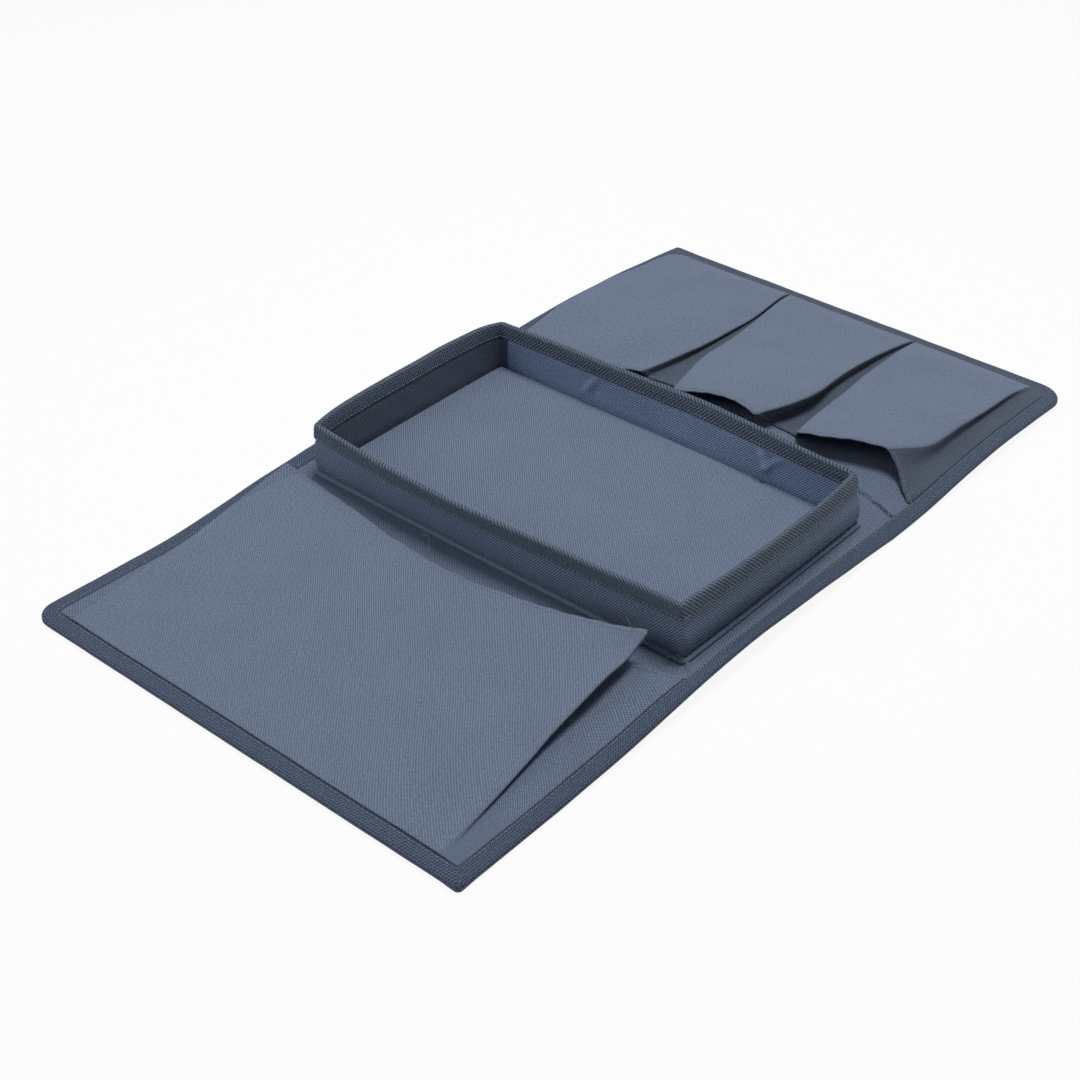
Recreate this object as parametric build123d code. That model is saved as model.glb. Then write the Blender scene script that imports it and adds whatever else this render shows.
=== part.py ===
from build123d import *

import math
import os
from collections import namedtuple

# Sofa arm tray: a stiff, lined tray sewn to the middle of a long cloth panel, whose two ends fold down
# over the sides of a sofa arm and carry pockets. All lengths are millimetres.
# X runs across the panel, along the tray's long side. Y runs along the panel, from the near flap's end
# to the far flap's end. Z is up. The origin is the middle of the tray's underside, on the rest plane.

# Cloth, tape and stiffening
cloth_thickness = 0.8
interlining_thickness = 1.2
edge_tape_thickness = 0.7
edge_tape_cover = 11.0
rim_tape_thickness = 0.8
rim_tape_cover = 11.0

# Tray, measured over the rim tape
tray_length = 300.0
tray_width = 183.0
tray_top = 45.0
end_wall_lean = 3.5
wall_board_thickness = 2.4
floor_board_thickness = 3.0
floor_pad_thickness = 3.2
welt_size = 3.4
welt_round_share = 0.7

# Panel
side_strip = 20.4
welt_to_fold = 3.9
dish_depth = 2.2
dish_slope = 1.5
near_flap_length = 210.5
far_flap_length = 228.0
near_flap_bow = 1.5
far_flap_bow = 5.0

# How far a flap can fold upwards, which sets how far the stiff layers stop short of the fold
steepest_lift_degrees = 60.0

# Pockets. A height is how far the front's underside stands above the flap's face cloth at the mouth.
pocket_stations = 6
front_facets = 6
near_mouth_setback = 7.0
near_bottom_gaps = (10.0, 10.0)
near_mouth_gaps = (7.0, 27.0)
near_mouth_heights = (1.8, 26.0)
near_rise_power = 2.9
near_valley_height_share = 0.42
near_valley_bottom_share = 0.5
near_valley_mouth_share = -0.1
far_mouth_setback = 49.0
far_bottom_shares = ((0.017, 0.313), (0.328, 0.663), (0.672, 0.953))
far_mouth_shares = ((0.023, 0.319), (0.370, 0.651), (0.702, 0.890))
far_mouth_heights = ((2.5, 11.0), (2.7, 16.0), (7.0, 14.0))
far_rise_power = 1.2
pleat_seam_share = 0.5

# Clearances
fit_clearance = 0.3
sewn_clearance = 0.2

# Worked out from the sizes above
panel_thickness = 2 * cloth_thickness + interlining_thickness
panel_top = dish_depth + panel_thickness
wall_top = tray_top - rim_tape_thickness
wall_thickness = 2 * cloth_thickness + wall_board_thickness
wall_y = tray_width / 2 - rim_tape_thickness
rim_x = tray_length / 2 - rim_tape_thickness
foot_x = rim_x + end_wall_lean
panel_x = foot_x + welt_size + side_strip
tape_inner_x = panel_x - edge_tape_cover
fold_y = wall_y + welt_size + welt_to_fold
fold_z = dish_depth + cloth_thickness / 2
fold_nose = cloth_thickness / 2
stiff_reach = panel_top + edge_tape_thickness - fold_z
lift = math.radians(steepest_lift_degrees)
fold_clearance = (stiff_reach * math.sin(lift) + fit_clearance) / (1 + math.cos(lift))
floor_z = panel_top + floor_board_thickness + floor_pad_thickness
board_x = foot_x
board_y = wall_y

Flap = namedtuple("Flap", "side length bow")
near_flap = Flap(-1, near_flap_length, near_flap_bow)
far_flap = Flap(1, far_flap_length, far_flap_bow)

nodes = {}


# Shapes that the pieces share


def block(x_low, x_high, y_low, y_high, z_low, z_high):
    """A box between two corners."""
    centre = Pos((x_low + x_high) / 2, (y_low + y_high) / 2, (z_low + z_high) / 2)
    return centre * Box(x_high - x_low, y_high - y_low, z_high - z_low)


def polygon(points):
    """A flat closed outline through points in space."""
    return Wire.make_polygon([Vector(*point) for point in points], close=True)


def plate(outline, y_low, y_high):
    """A plate between two places along Y, with its outline given as (x, z) points."""
    face = Face(polygon([(x, y_low, z) for x, z in outline]))
    return Solid.extrude(face, Vector(0, y_high - y_low, 0))


def frustum(x_low, y_low, x_high, y_high, z_low, z_high):
    """A block centred on the Z axis whose half sizes change from its bottom to its top."""
    signs = ((-1, -1), (1, -1), (1, 1), (-1, 1))
    bottom = polygon([(sx * x_low, sy * y_low, z_low) for sx, sy in signs])
    top = polygon([(sx * x_high, sy * y_high, z_high) for sx, sy in signs])
    return Solid.make_loft([bottom, top], ruled=True)


def strip_outline(path, thickness):
    """The outline of a strip that lies to the left of a path of (x, z) points, mitred at its bends."""
    normals = []
    for (x0, z0), (x1, z1) in zip(path, path[1:]):
        run = math.hypot(x1 - x0, z1 - z0)
        normals.append(((z0 - z1) / run, (x1 - x0) / run))
    before = [normals[0]] + normals
    after = normals + [normals[-1]]
    raised = []
    for (x, z), (ax, az), (bx, bz) in zip(path, before, after):
        spread = thickness / (1 + ax * bx + az * bz)
        raised.append((x + spread * (ax + bx), z + spread * (az + bz)))
    return list(path) + raised[::-1]


# The tray


def wall_outer_x(z):
    """Half the tray's length over the end walls' outer cloth, which leans out towards the foot."""
    return rim_x + end_wall_lean * (wall_top - z) / (wall_top - panel_top)


def long_wall_layer(side, inset, thickness, end_inset):
    """One layer of the near or far wall. Its slanted ends follow the leaning end walls."""
    outline = [
        (-wall_outer_x(panel_top) + end_inset, panel_top),
        (wall_outer_x(panel_top) - end_inset, panel_top),
        (wall_outer_x(wall_top) - end_inset, wall_top),
        (-wall_outer_x(wall_top) + end_inset, wall_top),
    ]
    outer = side * (wall_y - inset)
    inner = side * (wall_y - inset - thickness)
    return plate(outline, min(outer, inner), max(outer, inner))


def end_wall_layer(side, inset, thickness, end_inset):
    """One layer of the left or right wall, between the near and far walls."""
    outline = [
        (side * (wall_outer_x(panel_top) - inset), panel_top),
        (side * (wall_outer_x(panel_top) - inset - thickness), panel_top),
        (side * (wall_outer_x(wall_top) - inset - thickness), wall_top),
        (side * (wall_outer_x(wall_top) - inset), wall_top),
    ]
    reach = wall_y - end_inset
    return plate(outline, -reach, reach)


def walls_envelope():
    """All four walls as one solid ring, which the rim tape is folded over."""
    outer = frustum(wall_outer_x(panel_top), wall_y, wall_outer_x(wall_top), wall_y, panel_top, wall_top)
    inner_y = wall_y - wall_thickness
    foot = wall_outer_x(panel_top) - wall_thickness
    rim = wall_outer_x(wall_top) - wall_thickness
    return outer - frustum(foot, inner_y, rim, inner_y, panel_top, wall_top)


def rim_tape(name, side, walls):
    """One length of the tape that is folded over the rim, before the walls are taken out of it."""
    bottom = tray_top - rim_tape_cover
    inner_y = wall_y - wall_thickness - rim_tape_thickness
    low_x = wall_outer_x(bottom) + rim_tape_thickness
    high_x = tray_length / 2
    if name in ("near", "far"):
        outline = [(-low_x, bottom), (low_x, bottom), (high_x, tray_top), (-high_x, tray_top)]
        outer_y = tray_width / 2
        body = plate(outline, min(side * outer_y, side * inner_y), max(side * outer_y, side * inner_y))
    else:
        depth = wall_thickness + 2 * rim_tape_thickness
        outline = [
            (side * (low_x - depth), bottom),
            (side * low_x, bottom),
            (side * high_x, tray_top),
            (side * (high_x - depth), tray_top),
        ]
        body = plate(outline, -inner_y, inner_y)
    return body - walls


def foot_welt(name, side):
    """The raised ridge sewn round the tray's foot, flat where it meets the wall and the panel."""
    if name in ("near", "far"):
        inner, outer = side * wall_y, side * (wall_y + welt_size)
        reach = foot_x + welt_size
        body = block(-reach, reach, min(inner, outer), max(inner, outer), panel_top, panel_top + welt_size)
        edges = body.edges().filter_by(Axis.X).sort_by(lambda edge: side * edge.center().Y + edge.center().Z)
    else:
        inner, outer = side * foot_x, side * (foot_x + welt_size)
        body = block(min(inner, outer), max(inner, outer), -wall_y, wall_y, panel_top, panel_top + welt_size)
        edges = body.edges().filter_by(Axis.Y).sort_by(lambda edge: side * edge.center().X + edge.center().Z)
    return fillet(edges[-1], welt_size * welt_round_share)


def make_tray():
    """The floor, the four walls, the rim tape and the foot welt."""
    walls = walls_envelope()
    inner_y = wall_y - wall_thickness - fit_clearance
    inner_x = wall_outer_x(floor_z + cloth_thickness) - wall_thickness - fit_clearance
    pad_z = panel_top + floor_board_thickness
    nodes["floor_board"] = block(-inner_x, inner_x, -inner_y, inner_y, panel_top, pad_z)
    nodes["floor_pad"] = block(-inner_x, inner_x, -inner_y, inner_y, pad_z, floor_z)
    nodes["floor_cloth"] = block(-inner_x, inner_x, -inner_y, inner_y, floor_z, floor_z + cloth_thickness)
    board_inset = cloth_thickness
    lining_inset = cloth_thickness + wall_board_thickness
    for name, side in (("near", -1), ("far", 1)):
        nodes[f"wall_cloth_{name}"] = long_wall_layer(side, 0, cloth_thickness, 0)
        nodes[f"wall_board_{name}"] = long_wall_layer(side, board_inset, wall_board_thickness, board_inset)
        nodes[f"wall_lining_{name}"] = long_wall_layer(side, lining_inset, cloth_thickness, lining_inset)
    for name, side in (("left", -1), ("right", 1)):
        nodes[f"wall_cloth_{name}"] = end_wall_layer(side, 0, cloth_thickness, board_inset)
        nodes[f"wall_board_{name}"] = end_wall_layer(side, board_inset, wall_board_thickness, lining_inset)
        nodes[f"wall_lining_{name}"] = end_wall_layer(side, lining_inset, cloth_thickness, wall_thickness)
    for name, side in (("near", -1), ("far", 1), ("left", -1), ("right", 1)):
        nodes[f"rim_tape_{name}"] = rim_tape(name, side, walls)
        nodes[f"foot_welt_{name}"] = foot_welt(name, side)


# The middle of the panel


def make_centre_panel():
    """Back cloth dished round a stiff board, interlining, face cloth and the folded tape on two edges."""
    cloth_x = panel_x - edge_tape_thickness
    back_y = fold_y - fold_nose - fit_clearance
    stiff_y = fold_y - fold_clearance
    back_top = dish_depth + cloth_thickness
    face_low = back_top + interlining_thickness
    hole_x = board_x + fit_clearance
    hole_y = board_y + fit_clearance
    rise_x = hole_x + dish_slope
    rise_y = hole_y + dish_slope

    flange = block(-cloth_x, cloth_x, -back_y, back_y, dish_depth, back_top)
    dish = frustum(
        hole_x + cloth_thickness, hole_y + cloth_thickness,
        rise_x + cloth_thickness, rise_y + cloth_thickness, 0, dish_depth
    )
    hollow = frustum(hole_x, hole_y, rise_x, rise_y, cloth_thickness, back_top)
    nodes["centre_back_cloth"] = (flange + dish) - hollow
    nodes["base_board"] = block(-board_x, board_x, -board_y, board_y, cloth_thickness, face_low)
    interlining = block(-cloth_x, cloth_x, -stiff_y, stiff_y, back_top, face_low)
    opening = block(-rise_x, rise_x, -rise_y, rise_y, back_top, face_low)
    nodes["centre_interlining"] = interlining - opening
    nodes["centre_face_cloth"] = block(-cloth_x, cloth_x, -stiff_y, stiff_y, face_low, panel_top)

    low = dish_depth - edge_tape_thickness
    high = panel_top + edge_tape_thickness
    filling = block(-cloth_x, cloth_x, -fold_y, fold_y, dish_depth, panel_top)
    for name, side in (("left", -1), ("right", 1)):
        near_x, far_x = sorted((side * tape_inner_x, side * panel_x))
        tape = block(near_x, far_x, -stiff_y, stiff_y, low, high)
        nodes[f"centre_edge_tape_{name}"] = tape - filling


# The flaps


def arc_height(flap, out):
    """Height of the back cloth's underside at a distance out from the fold, on one circular arc."""
    half = flap.length / 2
    slope = (edge_tape_thickness - dish_depth) / flap.length
    drop = (half * half * (1 + slope * slope) - flap.bow * flap.bow) / (2 * flap.bow)
    centre_out = half + slope * drop
    centre_z = (dish_depth + edge_tape_thickness) / 2 - drop
    radius = math.hypot(slope * drop, drop + flap.bow)
    return centre_z + math.sqrt(radius * radius - (out - centre_out) ** 2)


def flap_point(flap, x, out, height):
    """A point at a distance out from the fold and a height above the back cloth's underside."""
    return (x, flap.side * (fold_y + out), arc_height(flap, out) + height)


def band(flap, outs, heights, x_low, x_high, nose=False):
    """One bowed layer of a flap. A nose rounds the end that lies in the fold."""
    (start, end), (low, high) = outs, heights
    middle = (start + end) / 2
    places = ((start, low), (end, low), (end, high), (start, high))
    corners = [flap_point(flap, x_low, out, height) for out, height in places]
    edges = [
        Edge.make_three_point_arc(corners[0], flap_point(flap, x_low, middle, low), corners[1]),
        Edge.make_line(corners[1], corners[2]),
        Edge.make_three_point_arc(corners[2], flap_point(flap, x_low, middle, high), corners[3]),
    ]
    if nose:
        tip = (x_low, corners[0][1] - flap.side * (high - low) / 2, (corners[0][2] + corners[3][2]) / 2)
        edges.append(Edge.make_three_point_arc(corners[3], tip, corners[0]))
    else:
        edges.append(Edge.make_line(corners[3], corners[0]))
    return Solid.extrude(Face(Wire(edges)), Vector(x_high - x_low, 0, 0))


def make_flap(name, flap):
    """Back cloth, interlining and face cloth, with tape folded over the three outer edges."""
    cloth_x = panel_x - edge_tape_thickness
    cloth_end = flap.length - edge_tape_thickness
    face_low = cloth_thickness + interlining_thickness
    layer = (fold_clearance, cloth_end)
    back = band(flap, (0, cloth_end), (0, cloth_thickness), -cloth_x, cloth_x, nose=True)
    nodes[f"{name}_back_cloth"] = back
    nodes[f"{name}_interlining"] = band(flap, layer, (cloth_thickness, face_low), -cloth_x, cloth_x)
    nodes[f"{name}_face_cloth"] = band(flap, layer, (face_low, panel_thickness), -cloth_x, cloth_x)

    heights = (-edge_tape_thickness, panel_thickness + edge_tape_thickness)
    filling = band(flap, (0, cloth_end), (0, panel_thickness), -cloth_x, cloth_x)
    along = (fold_clearance, flap.length)
    across = (flap.length - edge_tape_cover, flap.length)
    nodes[f"{name}_edge_tape_left"] = band(flap, along, heights, -panel_x, -tape_inner_x) - filling
    nodes[f"{name}_edge_tape_right"] = band(flap, along, heights, tape_inner_x, panel_x) - filling
    nodes[f"{name}_edge_tape_end"] = band(flap, across, heights, -tape_inner_x, tape_inner_x) - filling


# The pockets


def pocket_stations_out(flap, setback):
    """Places along a pocket, as distance out from the fold and share of the way from seam to mouth."""
    seam = flap.length - edge_tape_cover - fit_clearance
    last = pocket_stations - 1
    return [(seam + (setback - seam) * station / last, station / last) for station in range(pocket_stations)]


def pocket_section(flap, out, outline):
    """A flat outline across a pocket, from (x, height) points above the flap's face cloth."""
    lift_off = panel_thickness + sewn_clearance
    return polygon([flap_point(flap, x, out, lift_off + height) for x, height in outline])


def pocket_front(flap, setback, bottom, mouth, heights, power):
    """A pocket's front cloth, flat along its bottom seam and lifted more and more towards its mouth."""
    sections = []
    for out, share in pocket_stations_out(flap, setback):
        left, right = [seam_x + (mouth_x - seam_x) * share for seam_x, mouth_x in zip(bottom, mouth)]
        lower = []
        for facet in range(front_facets + 1):
            across = facet / front_facets
            height = heights[0] + (heights[1] - heights[0]) * across**power
            lower.append((left + (right - left) * across, height * share))
        upper = [(x, z + cloth_thickness) for x, z in reversed(lower)]
        sections.append(pocket_section(flap, out, lower + upper))
    return Solid.make_loft(sections, ruled=True)


def pocket_strip(flap, setback, bottom, mouth):
    """A gusset or pleat beside a front, from its path of (x, height) points at the seam and at the mouth."""
    sections = []
    for out, share in pocket_stations_out(flap, setback):
        path = []
        for (seam_x, seam_z), (mouth_x, mouth_z) in zip(bottom, mouth):
            path.append((seam_x + (mouth_x - seam_x) * share, seam_z + (mouth_z - seam_z) * share))
        sections.append(pocket_section(flap, out, strip_outline(path, cloth_thickness)))
    return Solid.make_loft(sections, ruled=True)


def make_near_pocket():
    """One wide pocket whose right side is lifted off the flap, with a folded gusset on each side."""
    bottom = (near_bottom_gaps[0] - tape_inner_x, tape_inner_x - near_bottom_gaps[1])
    mouth = (near_mouth_gaps[0] - tape_inner_x, tape_inner_x - near_mouth_gaps[1])
    left_height, right_height = near_mouth_heights
    edge = tape_inner_x - cloth_thickness
    setback = near_mouth_setback
    nodes["near_pocket_front"] = pocket_front(
        near_flap, setback, bottom, mouth, near_mouth_heights, near_rise_power
    )
    seam = [(-edge, 0), (bottom[0] - sewn_clearance, 0)]
    hem = [(-edge, 0), (mouth[0] - sewn_clearance, left_height)]
    nodes["near_pocket_gusset_left"] = pocket_strip(near_flap, setback, seam, hem)

    seam_ridge = bottom[1] + sewn_clearance
    hem_ridge = mouth[1] + sewn_clearance
    seam_valley = seam_ridge + (edge - seam_ridge) * near_valley_bottom_share
    hem_valley = hem_ridge + (edge - hem_ridge) * near_valley_mouth_share
    seam = [(seam_ridge, 0), (seam_valley, 0), (edge, 0)]
    hem = [(hem_ridge, right_height), (hem_valley, right_height * near_valley_height_share), (edge, 0)]
    nodes["near_pocket_gusset_right"] = pocket_strip(near_flap, setback, seam, hem)


def make_far_pockets():
    """Three pockets side by side, with a pleat between neighbours and a gusset at each outer side."""
    width = 2 * tape_inner_x
    edge = tape_inner_x - cloth_thickness
    setback = far_mouth_setback
    bottoms = [[share * width - tape_inner_x for share in shares] for shares in far_bottom_shares]
    mouths = [[share * width - tape_inner_x for share in shares] for shares in far_mouth_shares]
    for index, (bottom, mouth, heights) in enumerate(zip(bottoms, mouths, far_mouth_heights)):
        front = pocket_front(far_flap, setback, bottom, mouth, heights, far_rise_power)
        nodes[f"far_pocket_front_{index + 1}"] = front

    seam = [(-edge, 0), (bottoms[0][0] - sewn_clearance, 0)]
    hem = [(-edge, 0), (mouths[0][0] - sewn_clearance, far_mouth_heights[0][0])]
    nodes["far_pocket_gusset_left"] = pocket_strip(far_flap, setback, seam, hem)
    seam = [(bottoms[-1][1] + sewn_clearance, 0), (edge, 0)]
    hem = [(mouths[-1][1] + sewn_clearance, far_mouth_heights[-1][1]), (edge, 0)]
    nodes["far_pocket_gusset_right"] = pocket_strip(far_flap, setback, seam, hem)

    for index in range(len(mouths) - 1):
        paths = []
        for places, heights in ((bottoms, ((0, 0),) * len(bottoms)), (mouths, far_mouth_heights)):
            start = places[index][1] + sewn_clearance
            end = places[index + 1][0] - sewn_clearance
            valley = start + (end - start) * pleat_seam_share
            paths.append([(start, heights[index][1]), (valley, 0), (end, heights[index + 1][0])])
        nodes[f"far_pocket_pleat_{index + 1}{index + 2}"] = pocket_strip(far_flap, setback, *paths)


make_tray()
make_centre_panel()
make_flap("near", near_flap)
make_flap("far", far_flap)
make_near_pocket()
make_far_pockets()

os.makedirs("parts", exist_ok=True)
for node, shape in nodes.items():
    export_step(shape, f"parts/{node}.step")
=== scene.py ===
import math

import bmesh
import bpy
import numpy as np
from bpy.props import FloatProperty, FloatVectorProperty, PointerProperty
from bpy.types import Operator, Panel, PropertyGroup
from mathutils import Euler, Matrix, Vector


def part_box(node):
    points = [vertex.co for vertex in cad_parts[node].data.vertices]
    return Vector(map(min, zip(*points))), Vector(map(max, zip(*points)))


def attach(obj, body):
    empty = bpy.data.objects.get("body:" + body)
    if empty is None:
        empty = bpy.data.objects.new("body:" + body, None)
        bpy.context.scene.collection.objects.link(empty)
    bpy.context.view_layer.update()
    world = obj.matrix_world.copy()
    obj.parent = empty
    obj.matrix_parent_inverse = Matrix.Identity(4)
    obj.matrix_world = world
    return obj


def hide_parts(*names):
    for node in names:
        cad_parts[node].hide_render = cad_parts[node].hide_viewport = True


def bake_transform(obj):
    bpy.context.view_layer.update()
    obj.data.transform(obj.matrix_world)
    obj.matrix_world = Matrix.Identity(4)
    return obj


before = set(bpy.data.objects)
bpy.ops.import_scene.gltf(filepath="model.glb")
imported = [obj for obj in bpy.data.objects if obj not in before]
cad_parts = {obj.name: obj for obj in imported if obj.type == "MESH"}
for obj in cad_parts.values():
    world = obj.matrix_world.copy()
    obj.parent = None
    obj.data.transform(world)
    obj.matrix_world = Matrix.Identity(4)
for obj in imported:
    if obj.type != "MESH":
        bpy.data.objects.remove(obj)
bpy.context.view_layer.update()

bl_info = {
    "name": "Sofa Arm Tray",
    "version": (1, 0, 0),
    "blender": (4, 5, 0),
    "location": "3D View > Sidebar > Sofa Arm Tray",
    "description": "Dresses the packed sofa arm tray in cloth, webbing, padding and stitching",
    "category": "Object",
}

# The model is worked out in millimetres, in the CAD's own frame, and goes into Blender in metres.
MM = 0.001


def edge(node, end, axis):
    """One side of a CAD node's box in millimetres: end 0 is its low side, end 1 its high side."""
    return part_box(node)[end]["xyz".index(axis)] / MM


def linear(text):
    """An sRGB hex colour as Blender's linear red, green and blue."""
    values = [int(text[i:i + 2], 16) / 255 for i in (1, 3, 5)]
    return tuple(v / 12.92 if v <= 0.04045 else ((v + 0.055) / 1.055) ** 2.4 for v in values)


# Sizes that the frame gives
PANEL_X = edge("near_edge_tape_right", 1, "x")
TAPE_INNER_X = edge("near_edge_tape_right", 0, "x")
TAPE_COVER = PANEL_X - TAPE_INNER_X
NEAR_END = edge("near_edge_tape_end", 0, "y")
FAR_END = edge("far_edge_tape_end", 1, "y")
PANEL_TOP = edge("centre_face_cloth", 1, "z")
RIM_TOP = edge("rim_tape_near", 1, "z")
RIM_TAPE_LOW = edge("rim_tape_near", 0, "z")
WALL_TOP = edge("wall_cloth_near", 1, "z")
WALL_Y = edge("wall_cloth_far", 1, "y")
FOOT_X = edge("wall_cloth_right", 1, "x")
RIM_X = edge("rim_tape_right", 1, "x")
WELT_SIZE = edge("foot_welt_far", 1, "y") - WALL_Y
FLOOR_TOP = edge("floor_cloth", 1, "z")
FLOOR_LOW = edge("floor_pad", 0, "z")
FLOOR_X = edge("floor_cloth", 1, "x")
FLOOR_Y = edge("floor_cloth", 1, "y")

# Sizes that the frame doesn't give, as in the part's source
CLOTH = 0.8
TAPE = 0.7
RIM_TAPE = 0.8
WALL = 4.0
FOLD_Y = 98.0
DISH_DEPTH = 2.2
DISH_SLOPE = 1.5
DISH_GAP = 1.1
PANEL_HALF = 1.4
NEAR_BOW = 1.5
FAR_BOW = 5.0
# The least height of a cloth over what it lies on
CLEAR = 0.02

# Where the panel is free of the tray's foot
FREE_X = 157

SIDES = ("near", "far", "left", "right")

# The stitch lines that each piece leaves for the stitching, by CAD body: lists of points in millimetres
SEAMS = {"tray": [], "near_flap": [], "far_flap": []}


# Settings that a user would change


def colour_setting(name, description, text):
    """A colour, given as an sRGB hex value."""
    return FloatVectorProperty(
        name=name, description=description, subtype="COLOR", size=3, min=0, max=1, default=linear(text),
    )


def length_setting(name, description, size, least, most):
    """A length, whose default and limits are given in millimetres."""
    return FloatProperty(
        name=name, description=description, default=size * MM, min=least * MM, max=most * MM, unit="LENGTH",
    )


class ClothSettings(PropertyGroup):
    panel_colour: colour_setting(
        "Panel Cloth", "Colour of the woven cloth of the panel, walls and floor", "#5E6C83",
    )
    # The pockets' colour, which the tray's floor shares, is the panel's cloth painted lighter: painted light
    # for the light that they catch.
    pocket_colour: colour_setting(
        "Pocket Cloth", "Colour of the pockets' cloth, which catches more light", "#66748B",
    )
    rib_spacing: length_setting("Rib Spacing", "Distance between two ribs of the weave", 1.5, 0.4, 5)
    rib_turn: FloatProperty(
        name="Rib Turn", description="Direction of the ribs on the panel, from the tray's long side",
        default=math.radians(-49), unit="ROTATION",
    )
    softness: FloatProperty(
        name="Softness", description="How uneven the cloth lies, where 1 is as in the photograph",
        default=1, min=0, max=3, subtype="FACTOR",
    )


class WebbingSettings(PropertyGroup):
    edge_colour: colour_setting("Edge Webbing", "Colour of the webbing round the panel", "#39465B")
    rim_colour: colour_setting("Rim Webbing", "Colour of the webbing over the tray's rim", "#455264")
    twill_spacing: length_setting(
        "Twill Spacing", "Distance between two slanting ridges of the webbing", 2.8, 0.5, 6,
    )


class StitchSettings(PropertyGroup):
    thread_colour: colour_setting("Thread", "Colour of the sewing thread", "#808A94")
    spacing: length_setting("Stitch Spacing", "Distance from one stitch to the next", 3.4, 1.5, 12)
    length: length_setting("Stitch Length", "Length of thread that shows in one stitch", 2.7, 0.8, 10)
    thickness: length_setting("Thread Thickness", "Thickness of the sewing thread", 0.5, 0.1, 2)


class TraySettings(PropertyGroup):
    pad_swell: length_setting("Pad Swell", "How far the padded floor may rise in its middle", 1.0, 0, 4)
    wall_swell: length_setting(
        "Wall Swell", "How far the walls' outer cloth stands off its boards", 2.3, 0, 4,
    )
    wall_lean: FloatProperty(
        name="Wall Lean", description="How far the walls lean out, where 1 is as in the photograph",
        default=1, min=0, max=1, subtype="FACTOR",
    )


class StageSettings(PropertyGroup):
    floor_colour: colour_setting("Floor", "Colour of the studio floor", "#F4F4F4")
    shadow_share: FloatProperty(
        name="Shadow", description="How much of the object's shadow shows on the floor",
        default=0.09, min=0, max=1, subtype="FACTOR",
    )
    key_power: FloatProperty(
        name="Key Light", description="Power of the large soft light", default=26.1, min=0, unit="POWER",
    )


# Shapes that the pieces share


def smoothstep(value, low, high):
    """0 below low, 1 above high, and a soft change between."""
    share = np.clip((np.asarray(value, float) - low) / (high - low), 0, 1)
    return share * share * (3 - 2 * share)


def between(value, rise_from, rise_to, fall_from, fall_to):
    """1 along a stretch and 0 beyond it, with a soft change at either end."""
    return smoothstep(value, rise_from, rise_to) * (1 - smoothstep(value, fall_from, fall_to))


def ripple(a, b, size, seed=0):
    """A soft unevenness from -1 to 1 whose waves are about as long as size. It is the same each run."""
    total = 0
    for turn, share in enumerate((1.0, 0.73, 1.31, 0.57)):
        angle = seed * 1.7 + turn * 2.4
        wave = (a * math.cos(angle) + b * math.sin(angle)) * 2 * math.pi / (size * share)
        total = total + np.sin(wave + seed * 3.1 + turn * 1.9)
    return total / 4


def smooth_line(places, values, at, folds=()):
    """Values between knots, smooth everywhere but at the knots that folds names."""
    places, values, at = (np.asarray(item, float) for item in (places, values, at))
    result = np.empty((len(at),) + values.shape[1:])
    ends = sorted({0, len(places) - 1, *folds})
    for first, last in zip(ends, ends[1:]):
        knots, held = places[first:last + 1], values[first:last + 1]
        inside = (at >= knots[0] - 1e-9) & (at <= knots[-1] + 1e-9)
        slope = np.gradient(held, knots, axis=0)
        index = np.clip(np.searchsorted(knots, at[inside], side="right") - 1, 0, len(knots) - 2)
        shape = (-1,) + (1,) * (values.ndim - 1)
        span = (knots[index + 1] - knots[index]).reshape(shape)
        t = (at[inside] - knots[index]).reshape(shape) / span
        result[inside] = (
            (1 + 2 * t) * (1 - t) ** 2 * held[index] + t * (1 - t) ** 2 * span * slope[index]
            + t * t * (3 - 2 * t) * held[index + 1] - t * t * (1 - t) * span * slope[index + 1]
        )
    return result


def knotted(knots, at):
    """A smooth curve through (place, value) knots, read at any array of places."""
    place, value = np.array(knots, float).T
    at = np.asarray(at, float)
    return smooth_line(place, value, np.clip(at, place[0], place[-1]).ravel()).reshape(at.shape)


def run_lengths(points):
    """How far along a line of points each of them lies."""
    steps = np.linalg.norm(np.diff(points, axis=0), axis=-1)
    return np.concatenate([[0], np.cumsum(steps)])


def stations(places, spacing):
    """Places at about an even spacing, with every knot among them."""
    parts = [
        np.linspace(a, b, max(2, round((b - a) / spacing)), endpoint=False)
        for a, b in zip(places, places[1:])
    ]
    return np.append(np.concatenate(parts), places[-1])


# How the panel lies


# Where the photograph shows the panel's long edges above or below the flat: (place along Y, rise) in mm
RIGHT_RISE = (
    (-308, 0), (-240, -2), (-160, 0.5), (-90, 7), (-45, 8), (0, 5.5), (82, 0), (130, -3.5), (220, -1),
    (326, 0),
)
LEFT_RISE = ((-308, 0), (-160, 0), (-85, 3), (0, 2.5), (120, 0.5), (200, 1), (326, 0))
# Where it shows the left one drawn in towards the middle
LEFT_DRAW = ((-308, 0.5), (-250, 3.2), (-195, 4.4), (-155, 1.8), (-120, 0), (200, 0), (260, 2), (326, 3.5))


def back_height(y):
    """Height of the panel's underside beside the tray's dish, which bows up along each flap."""
    y = np.asarray(y, float)
    length = np.where(y < 0, -NEAR_END - FOLD_Y, FAR_END - FOLD_Y)
    bow = np.where(y < 0, NEAR_BOW, FAR_BOW)
    share = np.clip((np.abs(y) - FOLD_Y) / length, 0, 1)
    return DISH_DEPTH + (TAPE - DISH_DEPTH) * share + 4 * bow * share * (1 - share)


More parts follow.
